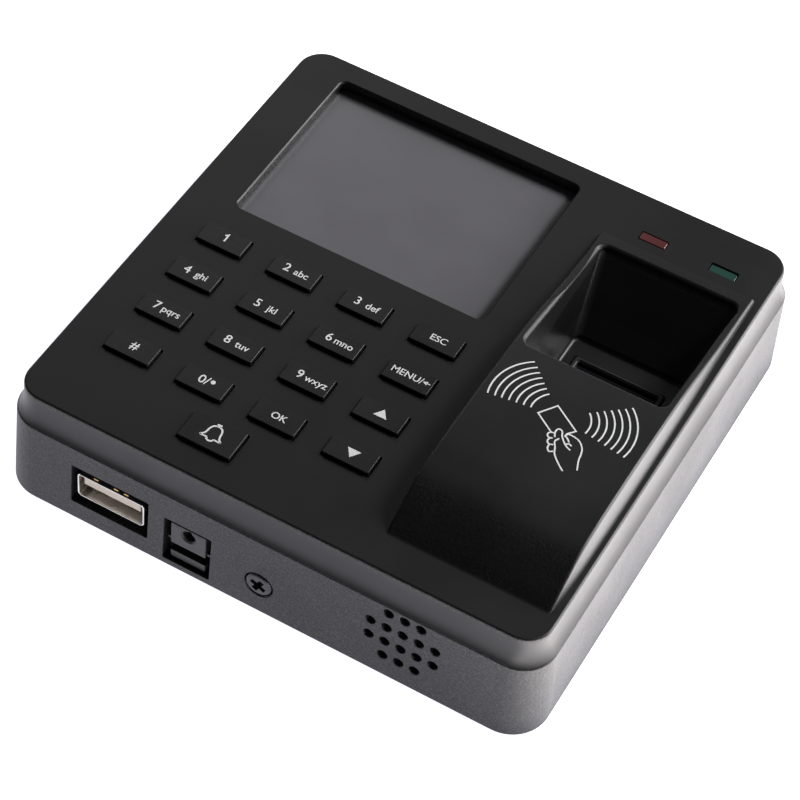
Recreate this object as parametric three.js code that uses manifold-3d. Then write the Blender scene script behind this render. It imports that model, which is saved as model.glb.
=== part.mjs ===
// Fingerprint and card terminal, lying on its back: +X right, +Y towards the display end, +Z out of the face.
// The origin is the middle of the back plane. All sizes are in millimetres.
import * as THREE from 'three';
import { mergeVertices } from 'three/addons/utils/BufferGeometryUtils.js';
import Module from 'manifold-3d';

const wasm = await Module();
wasm.setup();

// Housing
const BODY_WIDTH = 102;
const BODY_LENGTH = 102;
const FACE_HEIGHT = 24;
const CORNER_RADIUS = 7;
const WALL = 1.8;
const FACE_THICKNESS = 2;
const SHOULDER_HEIGHT = 17.6;
const WALL_LEAN = 0.8;
const FACE_INSET = 2.1;
const LIP_HEIGHT = 1;
const LIP_CHAMFER = 0.3;
const COVE_STEPS = 4;

// Clearances
const GAP = 0.3;
const KEY_GAP = 0.25;

// Wedge over the card reader and the finger well
const WEDGE_WIDTH = 29.6;
const WEDGE_SIDE = 3.8;
const WEDGE_FRONT = 8.5;
const WEDGE_BACK = 15.5;
const WEDGE_RISE = 6.2;
const WEDGE_END_RISE = 1;
const RAMP_RUN = 12;
const WEDGE_SKIN = 2.4;
const WEDGE_WALL = 2;

// Finger well
const WELL_WIDTH = 26.2;
const WELL_LENGTH = 31;
const WELL_BACK_RIM = 3.2;
const WELL_DEPTH = 10;
const WELL_NARROWING = 2.1;
const WELL_FLOOR_LENGTH = 20.4;
const WELL_SKIN = 1.6;
const SENSOR_HOLE_WIDTH = 17.7;
const SENSOR_HOLE_LENGTH = 15.2;
const SENSOR_HOLE_FRONT = -0.1;

// Keys
const KEY_WIDTH = 8.6;
const KEY_LENGTH = 4.4;
const BELL_WIDTH = 9.8;
const BELL_LENGTH = 6.2;
const KEY_RISE = 0.9;
const KEY_FLANGE = 0.8;
const KEY_PITCH_X = 14;
const KEY_PITCH_Y = 9.7;
const KEY_LEFT = 14.2;
const KEY_TOP_ROW = 48.7;
const BELL_ROW = 10.9;
const KEY_ROWS = [
  ['key_1', 'key_2', 'key_3', 'key_esc'],
  ['key_4', 'key_5', 'key_6', 'key_menu'],
  ['key_7', 'key_8', 'key_9', 'key_up'],
  ['key_hash', 'key_0', 'key_ok', 'key_down'],
];

// Display
const SCREEN_WIDTH = 49;
const SCREEN_LENGTH = 37.7;
const SCREEN_LEFT = 11.3;
const SCREEN_BACK = 7.1;
const SCREEN_CORNER = 1.2;
const WINDOW_LAP = 2;
const WINDOW_THICKNESS = 1.8;
const PANEL_THICKNESS = 2.4;
const PANEL_BORDER_X = 2.2;
const PANEL_BORDER_Y = 0.45;
const TRAY_WALL = 0.5;
const TRAY_CORNER = 3;
const DISPLAY_RIBBON_WIDTH = 18;

// Lamps
const LAMP_WIDTH = 5.6;
const LAMP_LENGTH = 2.4;
const LAMP_PITCH = 13.6;
const LAMP_BACK = 11.7;

// Openings in the front wall, measured from the back plane and the left or right side
const USB_LEFT = 22;
const USB_HEIGHT = 8.8;
const USB_OPENING_WIDTH = 15;
const USB_OPENING_HEIGHT = 8.9;
const USB_WIDTH = 13.1;
const USB_THICKNESS = 5.7;
const USB_SHEET = 0.35;
const USB_LENGTH = 13.7;
const TONGUE_THICKNESS = 1.9;
const TONGUE_DROP = 0.55;
const SOCKET_FROM_USB = 15.15;
const SOCKET_OPENING_WIDTH = 9;
const SOCKET_OPENING_HEIGHT = 10.2;
const SOCKET_OPENING_BOTTOM = 1.7;
const SOCKET_WIDTH = 6.8;
const SOCKET_BOTTOM = 2.1;
const SOCKET_STRIP = 1.8;
const SOCKET_SLOT = 2.1;
const SOCKET_BLOCK = 5.2;
const SOCKET_LENGTH = 12;
const PIN_HOLE_RADIUS = 1.2;
const PORT_RECESS = 0.8;
const LOCK_SCREW_HEIGHT = 7;
const SPEAKER_RIGHT = 24.6;
const SPEAKER_HEIGHT = 10.7;
const SPEAKER_RADIUS = 6.3;
const SPEAKER_DEPTH = 4.5;
const GRILLE_PITCH_X = 2.95;
const GRILLE_PITCH_Z = 3.6;
const GRILLE_RADIUS = 0.95;
const GRILLE_ROWS = [3, 5, 5, 3];

// Back of the housing
const PLATE_THICKNESS = 1.2;
const PLATE_TAB_WIDTH = 14;
const PLATE_TAB_HEIGHT = 10;
const PLATE_HOOK_WIDTH = 8;
const PLATE_HOOK_X = 22;
const PLATE_HOOK_BACK = 5.8;
const PLATE_HOOK_REACH = 3;
const COVER_BOTTOM = 1.6;
const COVER_THICKNESS = 2.4;
const COVER_SCREW_INSET = 6.2;
const BOSS_RADIUS = 2.3;
const BOARD_THICKNESS = 1.2;
const POST_RADIUS = 2.2;
const BATTERY_RADIUS = 6;
const CIRCLE_SIDES = 16;

// Levels worked out from the sizes above
const LEFT = -BODY_WIDTH / 2;
const RIGHT = BODY_WIDTH / 2;
const FRONT = -BODY_LENGTH / 2;
const BACK = BODY_LENGTH / 2;
const INNER_INSET = WALL_LEAN + WALL;
const UPPER_INSET = FACE_INSET + WALL + GAP;
const LINING_INSET = INNER_INSET + GAP;
const FACE_UNDERSIDE = FACE_HEIGHT - FACE_THICKNESS;
const INNER_FRONT = FRONT + INNER_INSET;
const COVER_TOP = COVER_BOTTOM + COVER_THICKNESS;
const BOARD_BOTTOM = COVER_TOP + 0.4;
const BOARD_TOP = BOARD_BOTTOM + BOARD_THICKNESS;
const WEDGE_X1 = RIGHT - WEDGE_SIDE;
const WEDGE_X0 = WEDGE_X1 - WEDGE_WIDTH;
const WEDGE_X = (WEDGE_X0 + WEDGE_X1) / 2;
const WEDGE_Y0 = FRONT + WEDGE_FRONT;
const WEDGE_Y1 = BACK - WEDGE_BACK;
const WELL_Y1 = WEDGE_Y1 - WELL_BACK_RIM;
const WELL_Y0 = WELL_Y1 - WELL_LENGTH;
const WELL_FLOOR = FACE_HEIGHT - WELL_DEPTH;
const SCREEN_X0 = LEFT + SCREEN_LEFT;
const SCREEN_X = SCREEN_X0 + SCREEN_WIDTH / 2;
const SCREEN_Y1 = BACK - SCREEN_BACK;
const SCREEN_Y = SCREEN_Y1 - SCREEN_LENGTH / 2;
const WINDOW_TOP = FACE_UNDERSIDE - GAP;
const WINDOW_BOTTOM = WINDOW_TOP - WINDOW_THICKNESS;
const PANEL_TOP = WINDOW_BOTTOM - GAP;
const PANEL_BOTTOM = PANEL_TOP - PANEL_THICKNESS;
const TRAY_BOTTOM = PANEL_BOTTOM - GAP - TRAY_WALL;
const FLANGE_TOP = FACE_UNDERSIDE - GAP;
const FLANGE_BOTTOM = FLANGE_TOP - 1;
const DOME_TOP = FLANGE_BOTTOM - GAP;
const MAT_TOP = DOME_TOP - 0.8;
const MAT_BOTTOM = MAT_TOP - 0.7;
const KEYPAD_BOARD_TOP = MAT_BOTTOM - GAP;
const KEYPAD_BOARD_BOTTOM = KEYPAD_BOARD_TOP - 1.6;
const LAMP_Y = BACK - LAMP_BACK;
const USB_X = LEFT + USB_LEFT;
const SOCKET_X = USB_X + SOCKET_FROM_USB;
const SPEAKER_X = RIGHT - SPEAKER_RIGHT;
const BELL_X = LEFT + KEY_LEFT + KEY_PITCH_X * 1.5;
const BELL_Y = FRONT + BELL_ROW;
const SENSOR_Y0 = WELL_Y0 + SENSOR_HOLE_FRONT;
const SENSOR_Y = SENSOR_Y0 + SENSOR_HOLE_LENGTH / 2;
const SCREW_X = RIGHT - COVER_SCREW_INSET;
const SCREW_Y = BACK - COVER_SCREW_INSET;
const COVER_SCREWS = [[-SCREW_X, -SCREW_Y], [SCREW_X, -SCREW_Y], [SCREW_X, SCREW_Y], [-SCREW_X, SCREW_Y]];
const POST_LEFT = LEFT + 5.6;
const POST_MIDDLE = WEDGE_X0 - POST_RADIUS - 0.1;
const BOARD_Y1 = BACK - 16;
const BOARD_SCREWS = [
  [POST_LEFT, FRONT + 31],
  [POST_LEFT, BOARD_Y1 - 10],
  [POST_MIDDLE, FRONT + 13],
  [POST_MIDDLE, BOARD_Y1 - 3],
];

// A closed geometry as a solid that can be joined and cut
function solidOf(geometry) {
  const bare = geometry.index ? geometry.toNonIndexed() : geometry.clone();
  bare.deleteAttribute('normal');
  bare.deleteAttribute('uv');
  const merged = mergeVertices(bare, 1e-4);
  return new wasm.Manifold(
    new wasm.Mesh({
      numProp: 3,
      vertProperties: new Float32Array(merged.attributes.position.array),
      triVerts: new Uint32Array(merged.index.array),
    }),
  );
}

function geometryOf(solid) {
  const mesh = solid.getMesh();
  const geometry = new THREE.BufferGeometry();
  geometry.setAttribute('position', new THREE.BufferAttribute(mesh.vertProperties, 3));
  geometry.setIndex(new THREE.BufferAttribute(mesh.triVerts, 1));
  geometry.computeVertexNormals();
  return geometry;
}

function join(first, ...others) {
  return others.reduce((sum, other) => sum.add(other), first);
}

function cut(body, ...tools) {
  return tools.reduce((rest, tool) => rest.subtract(tool), body);
}

function box(x0, x1, y0, y1, z0, z1) {
  const geometry = new THREE.BoxGeometry(x1 - x0, y1 - y0, z1 - z0);
  geometry.translate((x0 + x1) / 2, (y0 + y1) / 2, (z0 + z1) / 2);
  return solidOf(geometry);
}

function centredBox(x, y, width, length, z0, z1) {
  return box(x - width / 2, x + width / 2, y - length / 2, y + length / 2, z0, z1);
}

// Upright round bar
function bar(x, y, radius, z0, z1, sides = CIRCLE_SIDES) {
  const geometry = new THREE.CylinderGeometry(radius, radius, z1 - z0, sides);
  geometry.rotateX(Math.PI / 2);
  geometry.translate(x, y, (z0 + z1) / 2);
  return solidOf(geometry);
}

// Round bar along Y
function barAlongY(x, z, radius, y0, y1, sides = CIRCLE_SIDES) {
  const geometry = new THREE.CylinderGeometry(radius, radius, y1 - y0, sides);
  geometry.translate(x, (y0 + y1) / 2, z);
  return solidOf(geometry);
}

function roundedRectangle(x, y, width, length, radius) {
  const shape = new THREE.Shape();
  const cornerX = width / 2 - radius;
  const cornerY = length / 2 - radius;
  shape.absarc(x + cornerX, y - cornerY, radius, -Math.PI / 2, 0);
  shape.absarc(x + cornerX, y + cornerY, radius, 0, Math.PI / 2);
  shape.absarc(x - cornerX, y + cornerY, radius, Math.PI / 2, Math.PI);
  shape.absarc(x - cornerX, y - cornerY, radius, Math.PI, Math.PI * 1.5);
  shape.closePath();
  return shape;
}

function slab(shape, z0, z1, curveSegments = 4) {
  const geometry = new THREE.ExtrudeGeometry(shape, { depth: z1 - z0, bevelEnabled: false, curveSegments });
  geometry.translate(0, 0, z0);
  return solidOf(geometry);
}

// A shape drawn in Y and Z, drawn out along X
function geometryAlongX(shape, x0, x1, curveSegments = 6) {
  const geometry = new THREE.ExtrudeGeometry(shape, { depth: x1 - x0, bevelEnabled: false, curveSegments });
  const turn = new THREE.Matrix4().makeBasis(
    new THREE.Vector3(0, 1, 0),
    new THREE.Vector3(0, 0, 1),
    new THREE.Vector3(1, 0, 0),
  );
  geometry.applyMatrix4(turn);
  geometry.translate(x0, 0, 0);
  return geometry;
}

function outlineOf(points) {
  return new THREE.Shape(points.map(([a, b]) => new THREE.Vector2(a, b)));
}

// Rounded block about the Z axis whose outline moves inwards from level to level
function lofted(width, length, radius, levels) {
  const steps = levels.length - 1;
  const outline = roundedRectangle(0, 0, width, length, radius);
  const geometry = new THREE.ExtrudeGeometry(outline, {
    depth: steps,
    steps,
    bevelEnabled: false,
    curveSegments: 6,
  });
  const position = geometry.attributes.position;
  const limitX = width / 2 - radius;
  const limitY = length / 2 - radius;
  for (let i = 0; i < position.count; i += 1) {
    const level = levels[Math.round(position.getZ(i))];
    const centreX = THREE.MathUtils.clamp(position.getX(i), -limitX, limitX);
    const centreY = THREE.MathUtils.clamp(position.getY(i), -limitY, limitY);
    const share = (radius - level.inset) / radius;
    position.setXYZ(
      i,
      centreX + (position.getX(i) - centreX) * share,
      centreY + (position.getY(i) - centreY) * share,
      level.height,
    );
  }
  return solidOf(geometry);
}

function insetBlock(inset, z0, z1) {
  const radius = CORNER_RADIUS - inset;
  return slab(roundedRectangle(0, 0, BODY_WIDTH - 2 * inset, BODY_LENGTH - 2 * inset, radius), z0, z1);
}

// Leaning walls, a hollow cove above the shoulder, then the upright lip of the face
function outerBlock() {
  const levels = [
    { height: 0, inset: 0 },
    { height: SHOULDER_HEIGHT, inset: WALL_LEAN },
  ];
  const coveHeight = FACE_HEIGHT - LIP_HEIGHT - SHOULDER_HEIGHT;
  for (let step = 1; step <= COVE_STEPS; step += 1) {
    const part = step / COVE_STEPS;
    levels.push({
      height: SHOULDER_HEIGHT + coveHeight * part,
      inset: WALL_LEAN + (FACE_INSET - WALL_LEAN) * Math.sin((part * Math.PI) / 2),
    });
  }
  levels.push({ height: FACE_HEIGHT - LIP_CHAMFER, inset: FACE_INSET });
  levels.push({ height: FACE_HEIGHT, inset: FACE_INSET + LIP_CHAMFER });
  return lofted(BODY_WIDTH, BODY_LENGTH, CORNER_RADIUS, levels);
}

// Side view of the wedge: a ramp, a crest, and a long slope down to the display end
function wedgeProfile(bottom, drop) {
  const foot = FACE_HEIGHT - drop;
  const crest = foot + WEDGE_RISE;
  const end = foot + WEDGE_END_RISE;
  const crestY = WEDGE_Y0 + RAMP_RUN;
  const slope = WEDGE_Y1 - crestY;
  const shape = new THREE.Shape();
  shape.moveTo(WEDGE_Y0, bottom);
  shape.lineTo(WEDGE_Y0, foot);
  shape.bezierCurveTo(
    WEDGE_Y0 + RAMP_RUN * 0.3,
    foot + WEDGE_RISE * 0.05,
    WEDGE_Y0 + RAMP_RUN * 0.6,
    crest - WEDGE_RISE * 0.03,
    crestY,
    crest,
  );
  shape.bezierCurveTo(crestY + slope * 0.58, crest + 1, crestY + slope * 0.7, end + 0.8, WEDGE_Y1, end);
  shape.lineTo(WEDGE_Y1, bottom);
  shape.closePath();
  return shape;
}

function wedge() {
  return solidOf(geometryAlongX(wedgeProfile(FACE_UNDERSIDE, 0), WEDGE_X0, WEDGE_X1, 10));
}

function wedgeHollow() {
  const inside = geometryAlongX(
    wedgeProfile(FACE_UNDERSIDE - WEDGE_SKIN - 1, WEDGE_SKIN),
    WEDGE_X0 + WEDGE_WALL,
    WEDGE_X1 - WEDGE_WALL,
    10,
  );
  const behindRamp = box(
    WEDGE_X0,
    WEDGE_X1,
    WEDGE_Y0 + 4.5,
    WELL_Y0,
    FACE_UNDERSIDE - 1,
    FACE_HEIGHT + WEDGE_RISE,
  );
  return solidOf(inside).intersect(behindRamp);
}

// The finger well narrows towards its floor; grow thickens it into the tub that surrounds it
function wellBlock(grow, top) {
  const floor = WELL_FLOOR - grow;
  const slant = grow * 1.3;
  const profile = outlineOf([
    [WELL_Y0 - 1.3 - grow, floor],
    [WELL_Y0 - 1.3 + WELL_FLOOR_LENGTH + slant * 0.4, floor],
    [WELL_Y1 + slant * 0.4, FACE_HEIGHT + WEDGE_END_RISE + 0.3 - slant * 0.6],
    [WELL_Y1 + slant * 0.4, top],
    [WELL_Y0 - grow, top],
    [WELL_Y0 - grow, FACE_HEIGHT + 4],
  ]);
  const half = WELL_WIDTH / 2 + grow;
  const geometry = geometryAlongX(profile, WEDGE_X - half, WEDGE_X + half);
  const position = geometry.attributes.position;
  for (let i = 0; i < position.count; i += 1) {
    if (position.getZ(i) < floor + 0.1) {
      const side = Math.sign(position.getX(i) - WEDGE_X);
      position.setX(i, position.getX(i) - side * WELL_NARROWING);
    }
  }
  return solidOf(geometry);
}

function keySpots() {
  const spots = [];
  KEY_ROWS.forEach((names, row) => {
    names.forEach((name, column) => {
      spots.push({
        name,
        x: LEFT + KEY_LEFT + column * KEY_PITCH_X,
        y: FRONT + KEY_TOP_ROW - row * KEY_PITCH_Y,
        width: KEY_WIDTH,
        length: KEY_LENGTH,
      });
    });
  });
  spots.push({ name: 'key_bell', x: BELL_X, y: BELL_Y, width: BELL_WIDTH, length: BELL_LENGTH });
  return spots;
}

function keyHoles() {
  return keySpots().map((spot) =>
    centredBox(
      spot.x,
      spot.y,
      spot.width + 2 * KEY_GAP,
      spot.length + 2 * KEY_GAP,
      FACE_UNDERSIDE - 1,
      FACE_HEIGHT + 1,
    ),
  );
}

function lampSpots() {
  return [
    { colour: 'red', x: WEDGE_X - LAMP_PITCH / 2 + 0.4 },
    { colour: 'green', x: WEDGE_X + LAMP_PITCH / 2 + 0.4 },
  ];
}

function grilleHoles() {
  const holes = [];
  GRILLE_ROWS.forEach((count, row) => {
    const z = SPEAKER_HEIGHT + (1.5 - row) * GRILLE_PITCH_Z;
    for (let i = 0; i < count; i += 1) {
      const x = SPEAKER_X + (i - (count - 1) / 2) * GRILLE_PITCH_X;
      holes.push(barAlongY(x, z, GRILLE_RADIUS, FRONT - 1, INNER_FRONT + 0.1, 10));
    }
  });
  return holes;
}

function frontWallOpenings() {
  const usb = box(
    USB_X - USB_OPENING_WIDTH / 2,
    USB_X + USB_OPENING_WIDTH / 2,
    FRONT - 1,
    INNER_FRONT + 0.1,
    USB_HEIGHT - USB_OPENING_HEIGHT / 2,
    USB_HEIGHT + USB_OPENING_HEIGHT / 2,
  );
  const socket = box(
    SOCKET_X - SOCKET_OPENING_WIDTH / 2,
    SOCKET_X + SOCKET_OPENING_WIDTH / 2,
    FRONT - 1,
    INNER_FRONT + 0.1,
    SOCKET_OPENING_BOTTOM,
    SOCKET_OPENING_BOTTOM + SOCKET_OPENING_HEIGHT,
  );
  const screwHead = barAlongY(0, LOCK_SCREW_HEIGHT, 2.4 + GAP, FRONT - 1, FRONT + 1.8);
  const screwShank = barAlongY(0, LOCK_SCREW_HEIGHT, 1.2 + GAP, FRONT, INNER_FRONT + 0.1);
  return [usb, socket, screwHead, screwShank, ...grilleHoles()];
}

function screwPillars() {
  const bosses = COVER_SCREWS.map(([x, y]) =>
    cut(
      bar(x, y, BOSS_RADIUS, COVER_TOP + GAP, FACE_UNDERSIDE + 0.5),
      bar(x, y, 0.85 + GAP, COVER_TOP, COVER_TOP + 8),
    ),
  );
  const posts = BOARD_SCREWS.map(([x, y]) =>
    cut(bar(x, y, POST_RADIUS, BOARD_TOP + GAP, FACE_UNDERSIDE + 0.5), bar(x, y, 0.85 + GAP, BOARD_TOP, BOARD_TOP + 5)),
  );
  return [...bosses, ...posts];
}

function frontHousing() {
  const envelope = join(outerBlock(), wedge());
  const lowerCavity = insetBlock(INNER_INSET, -1, SHOULDER_HEIGHT - 0.6);
  const upperCavity = insetBlock(UPPER_INSET, SHOULDER_HEIGHT - 0.7, FACE_UNDERSIDE);
  const tub = wellBlock(WELL_SKIN, FACE_HEIGHT + WEDGE_RISE + 2).intersect(envelope);
  const shell = join(cut(envelope, lowerCavity, upperCavity, wedgeHollow()), tub, ...screwPillars());
  const screen = slab(
    roundedRectangle(SCREEN_X, SCREEN_Y, SCREEN_WIDTH, SCREEN_LENGTH, SCREEN_CORNER),
    FACE_UNDERSIDE - 1,
    FACE_HEIGHT + 1,
    3,
  );
  const sensorHole = centredBox(
    WEDGE_X,
    SENSOR_Y,
    SENSOR_HOLE_WIDTH,
    SENSOR_HOLE_LENGTH,
    WELL_FLOOR - WELL_SKIN - 1,
    WELL_FLOOR + 1,
  );
  const lampHoles = lampSpots().map((lamp) =>
    centredBox(lamp.x, LAMP_Y, LAMP_WIDTH, LAMP_LENGTH, FACE_UNDERSIDE - 1, FACE_HEIGHT + 1),
  );
  const well = wellBlock(0, FACE_HEIGHT + WEDGE_RISE + 3);
  return cut(shell, well, screen, sensorHole, ...lampHoles, ...keyHoles(), ...frontWallOpenings());
}

// Keycap about its own centre, with its top above the face and a flange that stops it under the face
function keycap(width, length) {
  const flangeTop = FLANGE_TOP - FACE_HEIGHT;
  const flangeBottom = FLANGE_BOTTOM - FACE_HEIGHT;
  return join(
    centredBox(0, 0, width, length, flangeBottom, KEY_RISE),
    centredBox(0, 0, width + 2 * KEY_FLANGE, length + 2 * KEY_FLANGE, flangeBottom, flangeTop),
  );
}

// Keypad outline: the block of sixteen keys with a tongue under the bell key
function keypadSheet(shrink, z0, z1) {
  const x0 = POST_LEFT + POST_RADIUS + 0.5 + shrink;
  const x1 = LEFT + KEY_LEFT + 3 * KEY_PITCH_X + KEY_WIDTH / 2 + 2.5 - shrink;
  const y0 = FRONT + KEY_TOP_ROW - 3 * KEY_PITCH_Y - 4.8 + shrink;
  const y1 = FRONT + KEY_TOP_ROW + 4.7 - shrink;
  const main = box(x0, x1, y0, y1, z0, z1);
  const tongue = box(BELL_X - 7 + shrink, BELL_X + 7 - shrink, BELL_Y - 4.5 + shrink, y0 + 1, z0, z1);
  return join(main, tongue);
}

function keypadMat() {
  const profile = [
    new THREE.Vector2(0, MAT_BOTTOM + 0.1),
    new THREE.Vector2(1.9, MAT_BOTTOM + 0.1),
    new THREE.Vector2(1.9, MAT_TOP),
    new THREE.Vector2(1.2, DOME_TOP),
    new THREE.Vector2(0, DOME_TOP),
  ];
  const domes = keySpots().map((spot) => {
    const dome = new THREE.LatheGeometry(profile, 10);
    dome.rotateX(Math.PI / 2);
    dome.translate(spot.x, spot.y, 0);
    return solidOf(dome);
  });
  return join(keypadSheet(0.6, MAT_BOTTOM, MAT_TOP), ...domes);
}

function displayPanel() {
  return centredBox(
    SCREEN_X,
    SCREEN_Y,
    SCREEN_WIDTH + 2 * PANEL_BORDER_X,
    SCREEN_LENGTH + 2 * PANEL_BORDER_Y,
    PANEL_BOTTOM,
    PANEL_TOP,
  );
}

function displayTray() {
  const width = SCREEN_WIDTH + 2 * (PANEL_BORDER_X + GAP);
  const length = SCREEN_LENGTH + 2 * (PANEL_BORDER_Y + GAP);
  const outside = roundedRectangle(SCREEN_X, SCREEN_Y, width + 2 * TRAY_WALL, length + 2 * TRAY_WALL, TRAY_CORNER);
  const inside = centredBox(SCREEN_X, SCREEN_Y, width, length, TRAY_BOTTOM + TRAY_WALL, PANEL_TOP + 1);
  return cut(slab(outside, TRAY_BOTTOM, PANEL_TOP - 0.4), inside);
}

// Flat flexible cable: out along the upper piece, down, and back along the main board
function ribbon(x, width, yUpper, yFold, yLower, zUpper) {
  const sheet = 0.35;
  const zLower = BOARD_TOP + GAP;
  const profile = outlineOf([
    [yUpper, zUpper],
    [yUpper, zUpper + sheet],
    [yFold, zUpper + sheet],
    [yFold, zLower + sheet],
    [yLower, zLower + sheet],
    [yLower, zLower],
    [yFold + sheet, zLower],
    [yFold + sheet, zUpper],
  ].reverse());
  return solidOf(geometryAlongX(profile, x - width / 2, x + width / 2));
}

function lampWindow() {
  return join(
    centredBox(0, 0, LAMP_WIDTH - 2 * GAP, LAMP_LENGTH - 2 * GAP, FLANGE_BOTTOM, FACE_HEIGHT - 0.2),
    centredBox(0, 0, LAMP_WIDTH + 1.4, LAMP_LENGTH + 1.4, FLANGE_BOTTOM, FLANGE_TOP),
  );
}

function sensorBezel() {
  const under = WELL_FLOOR - WELL_SKIN - GAP;
  const width = SENSOR_HOLE_WIDTH - 2 * GAP;
  const length = SENSOR_HOLE_LENGTH - 2 * GAP;
  return cut(
    join(
      centredBox(WEDGE_X, SENSOR_Y, width, length, under - 1, WELL_FLOOR - 0.1),
      centredBox(WEDGE_X, SENSOR_Y, width + 3, length + 3, under - 1, under),
    ),
    centredBox(WEDGE_X, SENSOR_Y, width - 1.4, length - 1.4, under - 2, WELL_FLOOR + 1),
  );
}

function fingerWindow() {
  const width = SENSOR_HOLE_WIDTH - 2 * GAP - 1.4 - 2 * GAP;
  const length = SENSOR_HOLE_LENGTH - 2 * GAP - 1.4 - 2 * GAP;
  return centredBox(WEDGE_X, SENSOR_Y, width, length, WELL_FLOOR - 1.7, WELL_FLOOR - 0.5);
}

function sensorPrism() {
  const top = WELL_FLOOR - 2;
  const half = (SENSOR_HOLE_LENGTH - 2.6) / 2;
  const profile = outlineOf([
    [SENSOR_Y - half, top - 1.4],
    [SENSOR_Y - half + 1.5, top - 2.9],
    [SENSOR_Y + half - 3, top - 2.9],
    [SENSOR_Y + half, top],
    [SENSOR_Y - half, top],
  ]);
  const width = SENSOR_HOLE_WIDTH - 2.6;
  return solidOf(geometryAlongX(profile, WEDGE_X - width / 2, WEDGE_X + width / 2));
}

function sensorCamera() {
  const z = WELL_FLOOR - 3.4;
  return join(
    barAlongY(WEDGE_X, z, 1.6, SENSOR_Y0 - 6.5, SENSOR_Y0 - 3, 12),
    barAlongY(WEDGE_X, z, 2, SENSOR_Y0 - 9, SENSOR_Y0 - 6, 12),
  );
}

function sensorBoard() {
  const top = WELL_FLOOR - 5.8;
  return box(WEDGE_X - 10.5, WEDGE_X + 10.5, SENSOR_Y0 - 11, SENSOR_Y0 + SENSOR_HOLE_LENGTH, top - 1, top);
}

function readerBoard() {
  return box(WEDGE_X0 + 3, WEDGE_X1 - 3, WEDGE_Y0 + 8.5, WELL_Y0 - 6, FACE_UNDERSIDE + 0.3, FACE_UNDERSIDE + 1.3);
}

function readerCoil() {
  const z0 = FACE_UNDERSIDE + 1.3 + GAP;
  const y = (WEDGE_Y0 + 8.5 + WELL_Y0 - 6) / 2;
  const width = WEDGE_WIDTH - 7;
  const length = WELL_Y0 - 6 - WEDGE_Y0 - 8.5 - 1;
  return cut(
    slab(roundedRectangle(WEDGE_X, y, width, length, 3), z0, z0 + 0.8),
    slab(roundedRectangle(WEDGE_X, y, width - 5, length - 5, 1.5), z0 - 1, z0 + 2),
  );
}

function lampBoard() {
  return box(WEDGE_X - 11, WEDGE_X + 9.6, LAMP_Y - 2.8, LAMP_Y + 2.6, FLANGE_BOTTOM - 3.4, FLANGE_BOTTOM - 2.2);
}

function lamp(x) {
  return centredBox(x, LAMP_Y, 3.2, 1.6, FLANGE_BOTTOM - 2.2 + GAP, FLANGE_BOTTOM - GAP);
}

function usbShell() {
  const y0 = FRONT + PORT_RECESS;
  const z0 = USB_HEIGHT - USB_THICKNESS / 2;
  const x0 = USB_X - USB_WIDTH / 2;
  return cut(
    box(x0, x0 + USB_WIDTH, y0, y0 + USB_LENGTH, z0, z0 + USB_THICKNESS),
    box(
      x0 + USB_SHEET,
      x0 + USB_WIDTH - USB_SHEET,
      y0 - 1,
      y0 + USB_LENGTH + 1,
      z0 + USB_SHEET,
      z0 + USB_THICKNESS - USB_SHEET,
    ),
  );
}

function usbTongue() {
  const y0 = FRONT + PORT_RECESS;
  const halfWidth = USB_WIDTH / 2 - USB_SHEET - GAP;
  const top = USB_HEIGHT + USB_THICKNESS / 2 - USB_SHEET - GAP;
  const bottom = USB_HEIGHT - USB_THICKNESS / 2 + USB_SHEET + GAP;
  return join(
    box(USB_X - halfWidth, USB_X + halfWidth, y0 + USB_LENGTH - 3, y0 + USB_LENGTH, bottom, top),
    box(
      USB_X - halfWidth + 0.4,
      USB_X + halfWidth - 0.4,
      y0 + 0.6,
      y0 + USB_LENGTH - 2,
      top - TONGUE_DROP - TONGUE_THICKNESS,
      top - TONGUE_DROP,
    ),
  );
}

function powerSocket() {
  const y0 = FRONT + PORT_RECESS;
  const x0 = SOCKET_X - SOCKET_WIDTH / 2;
  const x1 = SOCKET_X + SOCKET_WIDTH / 2;
  const slotBottom = SOCKET_BOTTOM + SOCKET_STRIP;
  const blockBottom = slotBottom + SOCKET_SLOT;
  const top = blockBottom + SOCKET_BLOCK;
  return cut(
    box(x0, x1, y0, y0 + SOCKET_LENGTH, SOCKET_BOTTOM, top),
    box(x0 - 1, x1 + 1, y0 - 1, y0 + SOCKET_LENGTH - 4, slotBottom, blockBottom),
    barAlongY(SOCKET_X, top - 1.9, PIN_HOLE_RADIUS, y0 - 1, y0 + SOCKET_LENGTH - 2, 12),
  );
}

function socketRoom(z0, z1) {
  const half = SOCKET_WIDTH / 2 + GAP + 0.4;
  return box(SOCKET_X - half, SOCKET_X + half, FRONT, FRONT + PORT_RECESS + SOCKET_LENGTH + 0.5, z0, z1);
}

function mainBoard() {
  const x1 = RIGHT - LINING_INSET - 0.3;
  const cornerX = SCREW_X - BOSS_RADIUS - 0.4;
  const y0 = INNER_FRONT + GAP + SPEAKER_DEPTH + 0.3;
  const board = box(-x1, x1, y0, BOARD_Y1, BOARD_BOTTOM, BOARD_TOP);
  const corners = [-1, 1].map((side) =>
    centredBox(side * (cornerX + 10), FRONT, 20, 2 * (COVER_SCREW_INSET + BOSS_RADIUS + 0.4), 0, BOARD_TOP + 1),
  );
  const holes = BOARD_SCREWS.map(([x, y]) => bar(x, y, 0.85 + GAP, 0, BOARD_TOP + 1, 12));
  return cut(board, socketRoom(0, BOARD_TOP + 1), ...corners, ...holes);
}

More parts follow.
